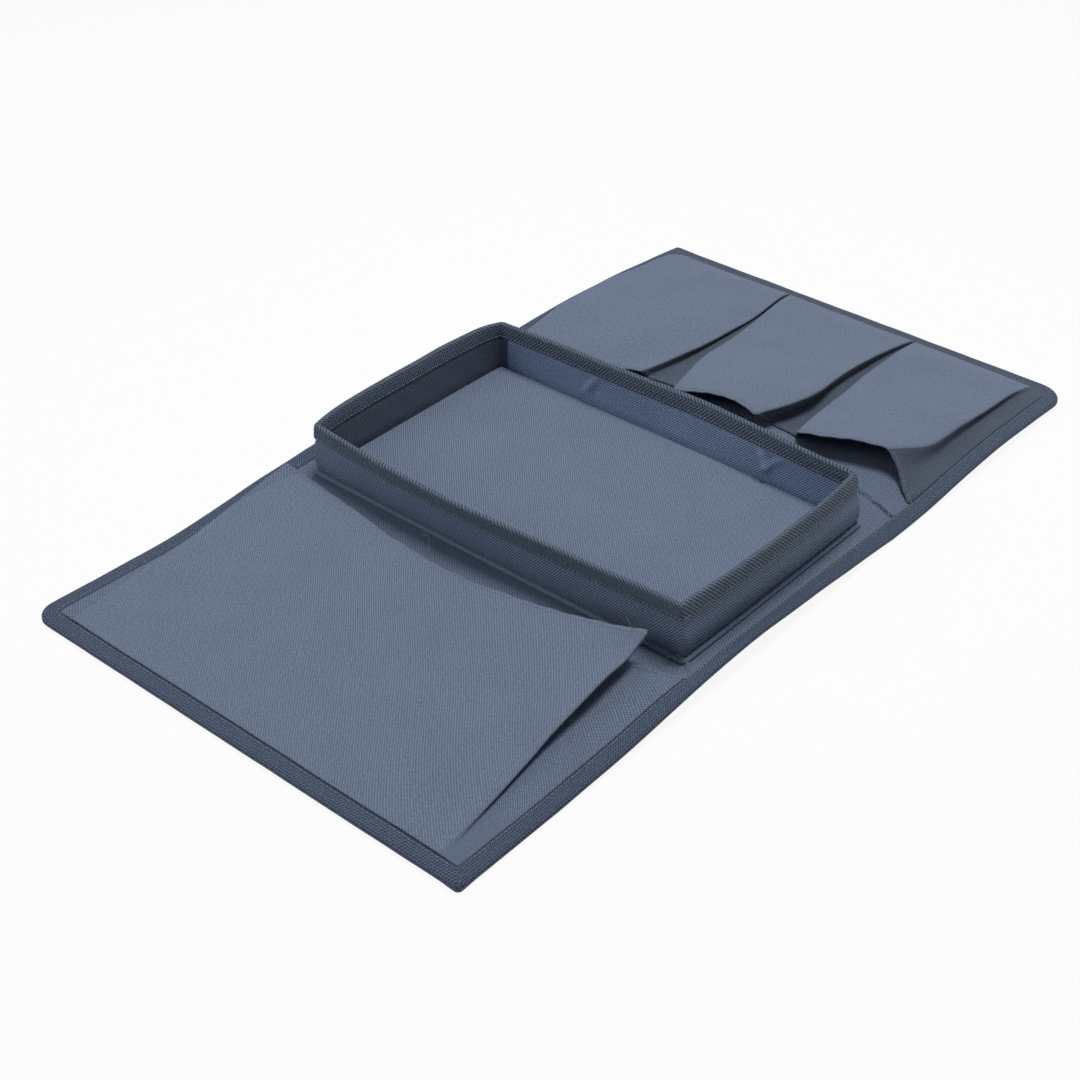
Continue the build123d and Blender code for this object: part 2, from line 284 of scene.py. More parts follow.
def settle(x, y, height=0.0):
    """Where a point of the flat panel ends up: height is measured from the middle of its thickness."""
    x, y, height = np.broadcast_arrays(*(np.asarray(item, float) for item in (x, y, height)))
    start = FREE_X - 47 * smoothstep(np.abs(y), 95, 150)
    right = knotted(RIGHT_RISE, y) * smoothstep(x, start, PANEL_X)
    left = knotted(LEFT_RISE, y) * smoothstep(-x, start, PANEL_X)
    middle = back_height(y) + PANEL_HALF + right + left
    soft = bpy.context.scene.tray_cloth.softness
    free = smoothstep(np.maximum(np.abs(x) - FREE_X, np.abs(y) - FOLD_Y), 0, 8)
    middle = middle + 0.35 * soft * ripple(x, y, 70, 3) * free
    middle = np.maximum(middle, PANEL_HALF + TAPE)
    across = x + knotted(LEFT_DRAW, y) * smoothstep(-x, 60, PANEL_X)
    return np.stack([across, y, middle + height], -1)


def face_point(x, y, height):
    """A point above the panel's upper face."""
    return settle(x, y, PANEL_HALF + height)


# Making pieces


def add_object(name, data):
    """A new object in the scene."""
    obj = bpy.data.objects.new(name, data)
    bpy.context.scene.collection.objects.link(obj)
    return obj


def each_side(piece):
    """A piece's names on the tray's four sides."""
    return [f"{piece}_{side}" for side in SIDES]


def add_mesh(name, points, faces, corner_uv=None):
    """A mesh object from points in millimetres, with its weave map in millimetres as well."""
    mesh = bpy.data.meshes.new(name)
    mesh.from_pydata((np.asarray(points, float) * MM).tolist(), [], [tuple(map(int, f)) for f in faces])
    if corner_uv is not None:
        layer = mesh.uv_layers.new(name="weave")
        layer.data.foreach_set("uv", np.asarray(corner_uv, np.float32).ravel())
    return add_object(name, mesh)


def grid_faces(rows, cols, wrap_rows=False, wrap_cols=False):
    """Quads over a grid of points: their vertex numbers, and their places in a grid that doesn't wrap."""
    i, j = np.meshgrid(np.arange(rows - (not wrap_rows)), np.arange(cols - (not wrap_cols)), indexing="ij")
    corners = [(i, j), (i, j + 1), (i + 1, j + 1), (i + 1, j)]
    numbers = np.stack([(a % rows) * cols + b % cols for a, b in corners], -1).reshape(-1, 4)
    places = np.stack([np.stack([a, b], -1) for a, b in corners], -2).reshape(-1, 4, 2)
    return numbers, places


def tidy_shell(obj, smooth_angle=50):
    """Turns a closed shell's faces outwards and shades it smooth, except over its sharp edges."""
    shell = bmesh.new()
    shell.from_mesh(obj.data)
    bmesh.ops.recalc_face_normals(shell, faces=shell.faces)
    shell.to_mesh(obj.data)
    shell.free()
    obj.data.shade_smooth()
    if smooth_angle:
        obj.data.set_sharp_from_angle(angle=math.radians(smooth_angle))
    return obj


def loop_piece(name, grid, across, along, close=False):
    """A solid swept from a closed profile. grid is stations by profile points; close joins its two ends."""
    rows, cols = grid.shape[:2]
    numbers, places = grid_faces(rows, cols, wrap_rows=close, wrap_cols=True)
    uv = np.stack([along[places[..., 0]], across[places[..., 1]]], -1)
    faces, corner_uv = list(numbers), list(uv.reshape(-1, 2))
    if not close:
        for row in (0, rows - 1):
            faces.append(np.arange(cols) + row * cols)
            corner_uv += [(along[row], across[j]) for j in range(cols)]
    return tidy_shell(add_mesh(name, grid.reshape(-1, 3), faces, corner_uv))


def two_sided(name, top, bottom, uv, smooth_angle=50):
    """A closed sheet between two grids of points, with its four sides filled."""
    rows, cols = top.shape[:2]
    numbers, places = grid_faces(rows, cols)
    upper = uv[places[..., 0], places[..., 1]]
    faces = [numbers, numbers[:, ::-1] + rows * cols]
    corner_uv = [upper, upper[:, ::-1]]
    rim = np.concatenate([
        np.arange(cols), np.arange(1, rows) * cols + cols - 1,
        (rows - 1) * cols + np.arange(cols - 2, -1, -1), np.arange(rows - 2, 0, -1) * cols,
    ])
    after = np.roll(rim, -1)
    faces.append(np.stack([rim, after, after + rows * cols, rim + rows * cols], -1))
    flat = uv.reshape(-1, 2)
    corner_uv.append(np.stack([flat[rim], flat[after], flat[after], flat[rim]], 1))
    obj = add_mesh(name, np.concatenate([top.reshape(-1, 3), bottom.reshape(-1, 3)]), np.concatenate(faces),
                   np.concatenate(corner_uv))
    return tidy_shell(obj, smooth_angle)


def finished(obj):
    """The object with its modifiers' result as its own mesh."""
    result = bpy.data.meshes.new_from_object(obj.evaluated_get(bpy.context.evaluated_depsgraph_get()))
    obj.modifiers.clear()
    old, obj.data = obj.data, result
    bpy.data.meshes.remove(old)
    result.name = obj.name
    return obj


def subdivided(obj, levels=1):
    """The object with its edges softened by a subdivision surface."""
    soft = obj.modifiers.new("soft", "SUBSURF")
    soft.levels = soft.render_levels = levels
    finished(obj)
    obj.data.shade_smooth()
    return obj


def dress(obj, material):
    """Gives a piece its material."""
    obj.data.materials.clear()
    obj.data.materials.append(bpy.data.materials[material])
    return obj


def with_normals(grid):
    """The unit normals of a grid of points, which look up."""
    normal = np.cross(np.gradient(grid, axis=1), np.gradient(grid, axis=0))
    normal /= np.maximum(np.linalg.norm(normal, axis=-1, keepdims=True), 1e-9)
    return np.where(normal[..., 2:].mean() < 0, -normal, normal)


# The panel


def rounded_corner(x, y, centre, sides):
    """Draws the points of a square corner into a quarter circle."""
    dx, dy = (x - centre[0]) * sides[0], (y - centre[1]) * sides[1]
    inside = (dx > 0) & (dy > 0)
    share = np.where(inside, np.maximum(dx, dy) / np.maximum(np.hypot(dx, dy), 1e-9), 1)
    return centre[0] + sides[0] * dx * share, centre[1] + sides[1] * dy * share


# The panel's corners as the photograph shows them: how round each is, in mm
CORNERS = {("near", -1): 14.0, ("near", 1): 3.0, ("far", 1): 22.0, ("far", -1): 3.0}


def end_of(half):
    """Which way a half of the panel runs from the tray, and where it ends."""
    return (-1, NEAR_END) if half == "near" else (1, FAR_END)


def blend_over_fold(obj):
    """Bakes a piece's transform into its mesh."""
    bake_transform(obj)


# The line, height and fade of the tuck beyond the far fold, and the place, height and width of the crease
TUCK_Y = 122
TUCK_HEIGHT = 2.6
TUCK_FADE = 9
CREASE_PLACE = (151, -87)
CREASE_HEIGHT = 2.0
CREASE_WIDTH = 1.3


def tuck(x, y):
    """How far the upper cloth stands up in the tuck beyond the far fold and the crease at the near corner."""
    step = y - (TUCK_Y - 9 * np.clip((x - 134) / 32, -1, 1))
    fade = np.exp(-np.maximum(step, 0) / TUCK_FADE)
    far = TUCK_HEIGHT * smoothstep(step, -0.5, 0.5) * fade * smoothstep(x, 60, 120)
    away = (x - CREASE_PLACE[0]) * 0.64 + (y - CREASE_PLACE[1]) * 0.77
    near = CREASE_HEIGHT * np.exp(-(away / CREASE_WIDTH) ** 2) * smoothstep(x, 150, 153) * (y < 0)
    stands = far * (1 - smoothstep(x, 165, 167)) + near * (1 - smoothstep(x, 164, 167))
    return stands * bpy.context.scene.tray_cloth.softness


def make_panel(half):
    """One half of the padded panel, from the middle of the tray to its end, dished under the tray."""
    side, end = end_of(half)
    length = abs(end) - TAPE
    cloth_x = PANEL_X - TAPE
    rise_x, rise_y = FOOT_X + DISH_GAP + DISH_SLOPE, WALL_Y + DISH_GAP + DISH_SLOPE
    across = np.sort(np.concatenate([
        np.linspace(-cloth_x, cloth_x, 95), [-rise_x, DISH_SLOPE - rise_x, rise_x - DISH_SLOPE, rise_x],
        np.arange(150.5, 168, 0.8),
    ]))
    along = np.sort(np.concatenate([
        np.linspace(0, 82, 21), np.arange(84, 94, 0.9), [rise_y - DISH_SLOPE, rise_y],
        np.arange(94.5, 102, 0.75), np.arange(103.5, 132, 0.8), np.linspace(134, length, 50),
    ]))
    x, y = np.meshgrid(across, along * side)
    uv = np.stack([x, y], -1)
    for sx in (-1, 1):
        radius = max(CORNERS[half, sx] - TAPE, 0.5)
        centre = (sx * (cloth_x - radius), side * (length - radius))
        x, y = rounded_corner(x, y, centre, (sx, side))
    top, bottom = settle(x, y, PANEL_HALF + tuck(x, y)), settle(x, y, -PANEL_HALF)
    inside = np.minimum(rise_x - np.abs(x), rise_y - np.abs(y))
    dish = np.clip(inside / DISH_SLOPE, 0, 1)
    bottom[..., 2] -= DISH_DEPTH * dish
    return two_sided(f"{half}_panel", top, bottom, uv, 40)


class TRAY_OT_panel(Operator):
    """Lay the long padded cloth panel in two halves, from the middle of the tray to either end"""

    bl_idname = "sofa_tray.panel"
    bl_label = "Panel"

    def execute(self, context):
        replaced = {
            "near": ("near_back_cloth", "near_interlining", "near_face_cloth", "centre_face_cloth"),
            "far": (
                "far_back_cloth", "far_interlining", "far_face_cloth", "centre_back_cloth",
                "centre_interlining",
            ),
        }
        for half, nodes in replaced.items():
            panel = dress(make_panel(half), "oxford cloth panel")
            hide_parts(*nodes)
            blend_over_fold(panel)
        return {"FINISHED"}


# The webbing round the panel

# Its stitch lines: how far in from the edge, how far from the panel's middle height, and where they stop and
# start again on either side of the bend
STITCH_INSET = 9.4
STITCH_HEIGHT = 2.2
STITCHES_STOP = 94.6
STITCHES_START = 101.5
# Its steps across the panel's end, and where its inner line's stations start to spread towards the corner
END_STEPS = 88
SPREAD_START = 110


def tape_path(half):
    """Stations round one half of the panel's edge: outer point, inner point and distance along."""
    side, end = end_of(half)
    outer, inner = [], []
    legs = np.concatenate([np.linspace(0, 92, 24), np.arange(93, 104, 0.75)])
    for sx in (-1, 1):
        radius = CORNERS[half, sx]
        inner_radius = max(radius - TAPE_COVER, 0.4)
        turn = np.linspace(0, math.pi / 2, 13 if radius > 8 else 9)
        straight = np.concatenate([legs, np.linspace(106, abs(end) - radius, 52)])
        ys = straight * side
        reach = np.clip((straight - SPREAD_START) / (abs(end) - radius - SPREAD_START), 0, 1)
        inner_straight = straight + reach * (abs(end) - TAPE_COVER - inner_radius - (abs(end) - radius))
        leg_outer = [(sx * PANEL_X, y) for y in ys]
        leg_inner = [(sx * TAPE_INNER_X, side * v) for v in inner_straight]
        for angle in turn[1:]:
            c, s = math.cos(angle), math.sin(angle)
            leg_outer.append((sx * (PANEL_X - radius + radius * c), side * (abs(end) - radius + radius * s)))
            leg_inner.append((
                sx * (TAPE_INNER_X - inner_radius + inner_radius * c),
                side * (abs(end) - TAPE_COVER - inner_radius + inner_radius * s),
            ))
        if sx > 0:
            leg_outer.reverse()
            leg_inner.reverse()
        else:
            last_outer, last_inner = leg_outer[-1][0], leg_inner[-1][0]
        outer.append(leg_outer)
        inner.append(leg_inner)
    bridge = np.linspace(0, 1, END_STEPS + 1)[1:-1]
    bridge_outer = [(last_outer + (outer[1][0][0] - last_outer) * t, end) for t in bridge]
    bridge_inner = [(last_inner + (inner[1][0][0] - last_inner) * t, end - side * TAPE_COVER) for t in bridge]
    outer = np.array(outer[0] + bridge_outer + outer[1])
    inner = np.array(inner[0] + bridge_inner + inner[1])
    return outer, inner, run_lengths((outer + inner) / 2)


def tape_points(outer, inner, inset, height):
    """Points on the webbing at an inset from its outer edge and a height from the panel's mid-plane."""
    flat = outer + (inner - outer) * inset / TAPE_COVER
    return settle(flat[..., 0], flat[..., 1], height)


def make_edge_tape(half):
    """One half of the webbing that is folded over the panel's edge, a little fuller at its corners."""
    outer, inner, along = tape_path(half)
    end = end_of(half)[1]
    profile = np.array([
        (11.0, 1.36), (11.0, 1.8), (10.6, 2.1), (9.2, 2.02), (6.0, 2.16), (3.0, 2.2), (1.4, 2.05),
        (0.5, 1.55), (0.05, 0.8), (0.0, 0.0), (0.05, -0.8), (0.5, -1.55), (1.4, -2.0), (3.0, -2.1),
        (6.0, -2.1), (9.2, -2.0), (10.6, -2.1), (11.0, -1.8), (11.0, -1.36), (0.9, -1.34), (0.9, 1.34),
    ])
    across = run_lengths(profile)
    knob = sum(
        size * np.exp(-(np.hypot(outer[:, 0] - sx * PANEL_X, outer[:, 1] - end) / 8) ** 2)
        for sx, size in ((1, 0.55 if half == "near" else 0), (-1, 0.15))
    )
    soft = bpy.context.scene.tray_cloth.softness
    rows = []
    for inset, height in profile:
        shown = abs(height) > 1.5 or inset < 0.6
        fuller = 1 + (knob + 0.05 * soft * ripple(along, inset * 3, 34, 5)) * shown
        points = tape_points(outer, inner, inset, height * fuller)
        points[:, 2] = np.maximum(points[:, 2], CLEAR)
        rows.append(points)
    grid = np.stack(rows, 1)
    # The profile's last side lies hidden on the panel, so its share of the weave map may be short.
    closed = np.append(across, across[-1] + 2.7)
    return loop_piece(f"{half}_edge_tape", grid, closed, along)


class TRAY_OT_edge_tape(Operator):
    """Fold the woven tape over the panel's edge, with a stitch line near its inner edge on both faces"""

    bl_idname = "sofa_tray.edge_tape"
    bl_label = "Edge Webbing"

    def execute(self, context):
        for half, centre in (("near", "centre_edge_tape_left"), ("far", "centre_edge_tape_right")):
            tape = dress(make_edge_tape(half), "edge webbing")
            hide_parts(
                f"{half}_edge_tape_left", f"{half}_edge_tape_right", f"{half}_edge_tape_end", centre,
            )
            blend_over_fold(tape)
            outer, inner, _ = tape_path(half)
            away = np.abs(outer[:, 1])
            for height in (STITCH_HEIGHT, -STITCH_HEIGHT):
                line = tape_points(outer, inner, STITCH_INSET, height)
                SEAMS[f"{half}_flap"].append(line[away > STITCHES_START])
                for sx in (-1, 1):
                    SEAMS["tray"].append(line[(away < STITCHES_STOP) & (outer[:, 0] * sx > 0)])
        return {"FINISHED"}


# The tray

# How many steps a line round the walls has at a corner, along a long side and along a short side
CORNER_STEPS = 5
LONG_STEPS = 74
SHORT_STEPS = 46
# How far across the rim's webbing its ridges turn back
RIM_TURN = 17.0


def ring(half_x, half_y, radius, fine=1):
    """Points round a rectangle with round corners, anticlockwise from the near end of its right side."""
    points = []
    for turn, steps in enumerate((SHORT_STEPS, LONG_STEPS, SHORT_STEPS, LONG_STEPS)):
        angle = turn * math.pi / 2
        c, s = round(math.cos(angle)), round(math.sin(angle))
        ahead, out = (half_y, half_x) if turn % 2 == 0 else (half_x, half_y)
        for t in np.linspace(-1, 1, steps * fine, endpoint=False):
            points.append((c * out - s * t * (ahead - radius), s * out + c * t * (ahead - radius)))
        for t in np.linspace(0, math.pi / 2, CORNER_STEPS * fine, endpoint=False):
            a, b = out - radius + radius * math.cos(t), ahead - radius + radius * math.sin(t)
            points.append((c * a - s * b, s * a + c * b))
    return np.array(points)


# How far the photograph shows the rim leaning out of a straight box, along each wall: (place, lean) in mm
NEAR_LEAN = ((-149, 2.0), (-85, 8.2), (-37, 10.0), (0, 9.0), (60, 5.6), (110, 2.5), (149, 0))
FAR_LEAN = ((-149, 0), (-113, 2.2), (-39, 4.8), (29, 7.5), (68, 5.0), (100, 2.8), (149, 0))
LEFT_LEAN = ((-91, 2.5), (-75, 6.5), (-45, 9.0), (0, 9.5), (50, 9.0), (78, 5.5), (91, 0))
RIGHT_LEAN = ((-91, 0), (-40, 3.5), (20, 4.5), (60, 3.5), (91, 0))


def leaned(points):
    """Points of the tray once its walls lean out, which grows from nothing at the foot."""
    x, y, z = np.moveaxis(np.asarray(points, float), -1, 0)
    share = np.clip((z - PANEL_TOP) / (RIM_TOP - PANEL_TOP), 0, 1) * bpy.context.scene.tray_sizes.wall_lean
    move_x = knotted(RIGHT_LEAN, y) * smoothstep(x, 90, 149) - knotted(LEFT_LEAN, y) * smoothstep(-x, 90, 149)
    move_y = knotted(FAR_LEAN, x) * smoothstep(y, 50, 91) - knotted(NEAR_LEAN, x) * smoothstep(-y, 50, 91)
    return np.stack([x + move_x * share, y + move_y * share, z], -1)


def wall_x(z):
    """Half the tray's length over the end walls' outer cloth, which leans out towards the foot."""
    return RIM_X - RIM_TAPE + (FOOT_X - RIM_X + RIM_TAPE) * (WALL_TOP - z) / (WALL_TOP - PANEL_TOP)


def wall_ring(out, z, radius, fine=1):
    """A level line round the walls, at a distance out from the middle of their thickness."""
    return ring(wall_x(z) - WALL / 2 + out, WALL_Y - WALL / 2 + out, radius, fine)


def wall_middle(z, fine=1):
    """The level line along the middle of the walls, and the way out from each of its points."""
    middle = wall_ring(0, z, 2, fine)
    return middle, wall_ring(1, z, 3, fine) - middle


def ring_along(fine, mirrored=False):
    """How far round the walls each place lies. Mirrored, it runs back along the short walls, so that their
    ribs slant the other way."""
    points = wall_ring(0, 25, 3, fine)
    steps = np.diff(np.concatenate([points, points[:1]]), axis=0)
    sign = np.where(mirrored & (np.abs(steps[:, 1]) > np.abs(steps[:, 0])), -1, 1)
    return np.concatenate([[0], np.cumsum(np.linalg.norm(steps, axis=1) * sign)])


# The lining left of this place is on the left end wall
END_LINING_X = -142

# A wall's cloths, by how far from the middle of its thickness their two faces lie, and how far they draw in
# behind the rim's webbing
CLOTH_FACE = 2.0
CLOTH_BACK = 1.25
DRAWN_IN = 0.45
# The far lining's slanting creases: (place, lean, depth)
LINING_CREASES = ((-62, 0.55, 2.0), (76, -0.5, 2.8), (96, 0.9, 1.8))


def sweep_walls(name, profile, shift, fine=2, mirrored=True):
    """A closed ring swept round the walls. profile is (out, z, corner radius); shift moves its points."""
    levels = []
    for index, (out, z, radius) in enumerate(profile):
        level = wall_ring(out, z, radius, fine)
        middle, away = wall_middle(z, fine)
        outward, upward = shift(index, middle, out, z)
        level = level + away * np.asarray(outward)[:, None]
        levels.append(np.column_stack([level, z + np.asarray(upward)]))
    grid = leaned(np.stack(levels, 1))
    across = run_lengths(np.array([(out, z) for out, z, _ in profile] + [profile[0][:2]]))
    return loop_piece(name, grid, across, ring_along(fine, mirrored), close=True), grid


class TRAY_OT_walls(Operator):
    """Cover the tray's four board walls with outer cloth and lining, slack enough to swell and crease"""

    bl_idname = "sofa_tray.walls"
    bl_label = "Wall Cloth"

    def execute(self, context):
        soft = context.scene.tray_cloth.softness
        swell = context.scene.tray_sizes.wall_swell / MM

        def outer_shift(index, middle, out, z):
            still = np.zeros(len(middle))
            if out < 1.3:
                return still, still
            belly = swell * between(z, 6.5, 15, 21, 34)
            tucked_in = 0.55 * (1 - smoothstep(z, 5.5, 8.5))
            wave = 0.5 * soft * ripple(middle[:, 0], middle[:, 1] + z, 62, 1) * between(z, 5, 12, 26, 34)
            return belly - tucked_in + wave, still

        heights = [5.0, 5.8, 7, 9, 11.5, 14, 17, 20, 23, 26, 29, 32, 34, 38, 43.6]
        profile = [(CLOTH_FACE - DRAWN_IN * float(smoothstep(z, 34, 43)), z, 2.0) for z in heights]
        profile += [(CLOTH_BACK, heights[-1], 1.6), (CLOTH_BACK, heights[0], 1.6)]
        walls, grid = sweep_walls("wall_cloth", profile, outer_shift)
        dress(walls, "oxford cloth walls")
        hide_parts(*each_side("wall_cloth"))
        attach(walls, "tray")
        for x, y in ((1, -1), (1, 1), (-1, 1), (-1, -1)):
            corner = np.argmax(grid[:, 0, :2] @ (x, y))
            SEAMS["tray"].append(grid[corner, 1:13] + np.array([x * 0.15, y * 0.15, 0]))

        def lining_shift(index, middle, out, z):
            still = np.zeros(len(middle))
            if out > -1.5:
                return still, still
            x, y = middle.T
            free = between(z, 11, 15, 32, 36)
            belly = -0.8 * free - 0.35 * soft * ripple(x, y + z, 48, 2) * free
            for place, lean, deep in LINING_CREASES:
                across = (x - place) - lean * (z - 34)
                fold = np.exp(-(across / 3.2) ** 2) - 0.25 * np.exp(-((across - 6) / 4.5) ** 2)
                belly = belly - soft * deep * fold * (y > 60) * between(z, 12, 22, 26, 36)
            return belly, still

        heights = [42.5, 36, 34, 32, 30, 28, 26, 24, 22, 20, 18, 16, 14, 12, 10, 8.2]
        profile = [(DRAWN_IN * float(smoothstep(z, 34, 43)) - CLOTH_FACE, z, 1.2) for z in heights]
        profile += [(-CLOTH_BACK, heights[-1], 1.6), (-CLOTH_BACK, heights[0], 1.6)]
        lining, _ = sweep_walls("wall_lining", profile, lining_shift)
        dress(lining, "oxford cloth lining")
        # The lining on the left end wall takes a darker copy of the cloth: painted shade.
        lining.data.materials.append(bpy.data.materials["oxford cloth end lining"])
        for face in lining.data.polygons:
            face.material_index = int(face.center.x < END_LINING_X * MM)
        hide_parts(*each_side("wall_lining"))
        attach(lining, "tray")
        return {"FINISHED"}


class TRAY_OT_rim_tape(Operator):
    """Fold the heavy woven tape over the tray's rim and stitch it through the walls near its lower edge"""

    bl_idname = "sofa_tray.rim_tape"
    bl_label = "Rim Webbing"

    def execute(self, context):
        soft = context.scene.tray_cloth.softness
        low, top = RIM_TAPE_LOW, RIM_TOP
        round_top, ridge_height = 2.1, 0.13
        angles = np.linspace(0, math.pi, 11)
        arc = [(round_top * math.cos(a), top - round_top * (1 - math.sin(a))) for a in angles]
        outside = [
            (2.1, low), (2.7, low + 0.1), (2.95, low + 0.6), (2.78, low + 1.8), (2.85, low + 3.2),
            (2.7, low + 5.2), (2.4, low + 7.2),
        ]
        inside = [(-out, z) for out, z in outside[::-1]]
        line = np.array(outside + arc + inside)
        across = run_lengths(line)
        normal = np.column_stack([np.gradient(line[:, 1]), -np.gradient(line[:, 0])])
        normal /= np.linalg.norm(normal, axis=1, keepdims=True)
        # The corners' radius grows from the rim's inside to its outside.
        profile = [(out, z, 0.9 + (out + 2.9) / 5.8 * 1.7) for out, z in line]
        profile += [(-1.6, 43.0, 1.2), (1.6, 43.0, 2.0)]
        along = ring_along(5)[:-1]
        spacing = context.scene.tray_webbing.twill_spacing / MM

        def shift(index, middle, out, z):
            if index >= len(line):
                return np.zeros(len(middle)), np.zeros(len(middle))
            x, y = middle.T
            slant = across[index] if across[index] < RIM_TURN else 2 * RIM_TURN - across[index]
            ridge = ridge_height * (np.sin((along + slant) * 2 * math.pi / spacing) - 0.5)
            sway = 0.45 * soft * ripple(x, y, 75, 4) * smoothstep(z, 34, 41)
            height = 0.08 * soft * (ripple(x, y, 52, 6) - 1) * smoothstep(z, 40, 45)
            return sway - ridge * normal[index, 0], height - ridge * normal[index, 1]

        tape, grid = sweep_walls("rim_tape", profile, shift, fine=5, mirrored=False)
        dress(tape, "rim webbing")
        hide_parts(*each_side("rim_tape"))
        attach(tape, "tray")
        away = wall_middle(low, 5)[1]
        away = np.column_stack([away, np.zeros(len(away))])
        # The stitches stand a little off the webbing, at the same place of its profile outside and inside.
        sewn, off = 3, 0.18
        for place, out in ((sewn, off), (len(line) - 1 - sewn, -off)):
            stitches = grid[:, place] + away * out
            SEAMS["tray"].append(np.concatenate([stitches, stitches[:1]]))
        return {"FINISHED"}


class TRAY_OT_foot_welt(Operator):
    """Run the narrow raised ridge round the tray's foot, where the walls are sewn to the panel"""

    bl_idname = "sofa_tray.foot_welt"
    bl_label = "Foot Welt"

    def execute(self, context):
        soft = context.scene.tray_cloth.softness
        size = WELT_SIZE
        shape = [
            (0.0, 0.0), (-0.08, 0.62), (0.02, 0.82), (0.2, 0.94), (0.4, 0.93), (0.6, 0.83), (0.78, 0.66),
            (0.91, 0.44), (0.93, 0.28), (0.86, 0.16), (0.7, 0.1), (0.66, 0.0),
        ]
        profile = [(2.0 + out * size, PANEL_TOP + z * size, 1.8 + out * size * 0.8) for out, z in shape]

        def shift(index, middle, out, z):
            x, y = middle.T
            wave = soft * ripple(x, y, 58, 7) * smoothstep(z, PANEL_TOP + 0.3, PANEL_TOP + size)
            return 0.25 * wave, 0.3 * wave

        welt, _ = sweep_walls("foot_welt", profile, shift)
        dress(welt, "oxford cloth welt")
        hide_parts(*each_side("foot_welt"))
        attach(welt, "tray")
        return {"FINISHED"}


# How many frames the floor's cloth takes to swell
SWELL_FRAMES = 20
# Its rounded edge, by how wide it is and how far it drops, and how far it lies below its top before it swells
FLOOR_EDGE = 4
FLOOR_DROP = 1.6
FLOOR_SLACK = 0.6


class TRAY_OT_floor(Operator):
    """Swell the tray's padded floor with a short cloth simulation under light pressure"""

    bl_idname = "sofa_tray.floor"
    bl_label = "Padded Floor"

    def execute(self, context):
        swell = context.scene.tray_sizes.pad_swell / MM
        close = np.array([0, 0.6, 1.8])
        x, y = np.meshgrid(*(
            np.concatenate([
                close - half, np.linspace(FLOOR_EDGE - half, half - FLOOR_EDGE, steps), half - close[::-1],
            ])
            for half, steps in ((FLOOR_X, 68), (FLOOR_Y, 39))
        ))
        inset = np.minimum(FLOOR_X - np.abs(x), FLOOR_Y - np.abs(y))
        drop = FLOOR_DROP * (1 - np.sqrt(1 - (1 - np.clip(inset / FLOOR_EDGE, 0, 1)) ** 2))
        top = np.stack([x, y, FLOOR_TOP - FLOOR_SLACK - drop], -1)
        bottom = np.stack([x, y, np.full(x.shape, FLOOR_LOW + 0.05)], -1)
        pad = two_sided("padded_floor", top, bottom, np.stack([x, y], -1), 60)
        rows, cols = x.shape
        rest = np.array([v.co for v in pad.data.vertices])
        if not swell:
            moved = rest.copy()
            crown = (1 - (x / FLOOR_X) ** 4) * (1 - (y / FLOOR_Y) ** 4)
            moved[:rows * cols, 2] += (swell * 0.7 * crown * MM).ravel()
        else:
            held = pad.vertex_groups.new(name="sewn")
            edges = np.flatnonzero(inset.ravel() < 1).tolist()
            held.add(edges + list(range(rows * cols, 2 * rows * cols)), 1, "REPLACE")
            cloth = pad.modifiers.new("swell", "CLOTH")
            cloth.settings.vertex_group_mass = "sewn"
            cloth.settings.quality = 6
            cloth.settings.mass = 0.3
            cloth.settings.tension_stiffness = cloth.settings.compression_stiffness = 8
            cloth.settings.bending_stiffness = 0.5
            cloth.settings.use_pressure = True
            cloth.settings.uniform_pressure_force = 3
            cloth.settings.effector_weights.gravity = 0
            cloth.collision_settings.use_collision = False
            for number in range(1, SWELL_FRAMES + 1):
                context.scene.frame_set(number)
            shaped = pad.evaluated_get(context.evaluated_depsgraph_get()).to_mesh()
            moved = np.array([v.co for v in shaped.vertices])
            pad.modifiers.clear()
            pad.vertex_groups.clear()
            context.scene.frame_set(1)
            step = moved - rest
            far = np.linalg.norm(step, axis=1, keepdims=True)
            moved = rest + step * np.minimum(1, swell * MM / np.maximum(far, 1e-9))
        uneven = (ripple(x, y, 44, 8) * smoothstep(inset, 2, 20)).ravel()
        moved[:rows * cols, 2] += 0.12 * MM * context.scene.tray_cloth.softness * uneven
        moved = leaned(moved / MM) * MM
        pad.data.vertices.foreach_set("co", moved.astype(np.float32).ravel())
        pad.data.update()
        subdivided(pad)
        dress(pad, "oxford cloth floor")
        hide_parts("floor_cloth", "floor_pad")
        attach(pad, "tray")
        return {"FINISHED"}


# A wall's bent board, in mm
BOARD_HALF_LENGTH = 147
BOARD_HALF_WIDTH = 87
BOARD_HALF_THICKNESS = 1.1


def make_wall_board(side):
    """The stiff board inside one wall, which leans as its wall does."""
    lengthwise = side in ("near", "far")
    sign = -1 if side in ("near", "left") else 1
    half = BOARD_HALF_LENGTH if lengthwise else BOARD_HALF_WIDTH
    places, heights = np.meshgrid(
        np.linspace(-half, half, 49), np.linspace(PANEL_TOP + 0.4, RIM_TOP - 1.8, 9),
    )
    faces = []
    for out in (-BOARD_HALF_THICKNESS, BOARD_HALF_THICKNESS):
        if lengthwise:
            depth = np.full(places.shape, sign * (WALL_Y - WALL / 2 + out))
            grid = np.stack([places, depth, heights], -1)
        else:
            grid = np.stack([sign * (wall_x(heights) - WALL / 2 + out), places, heights], -1)
        faces.append(leaned(grid))
    return two_sided(f"wall_board_bent_{side}", *faces, np.stack([places, heights], -1), 30)


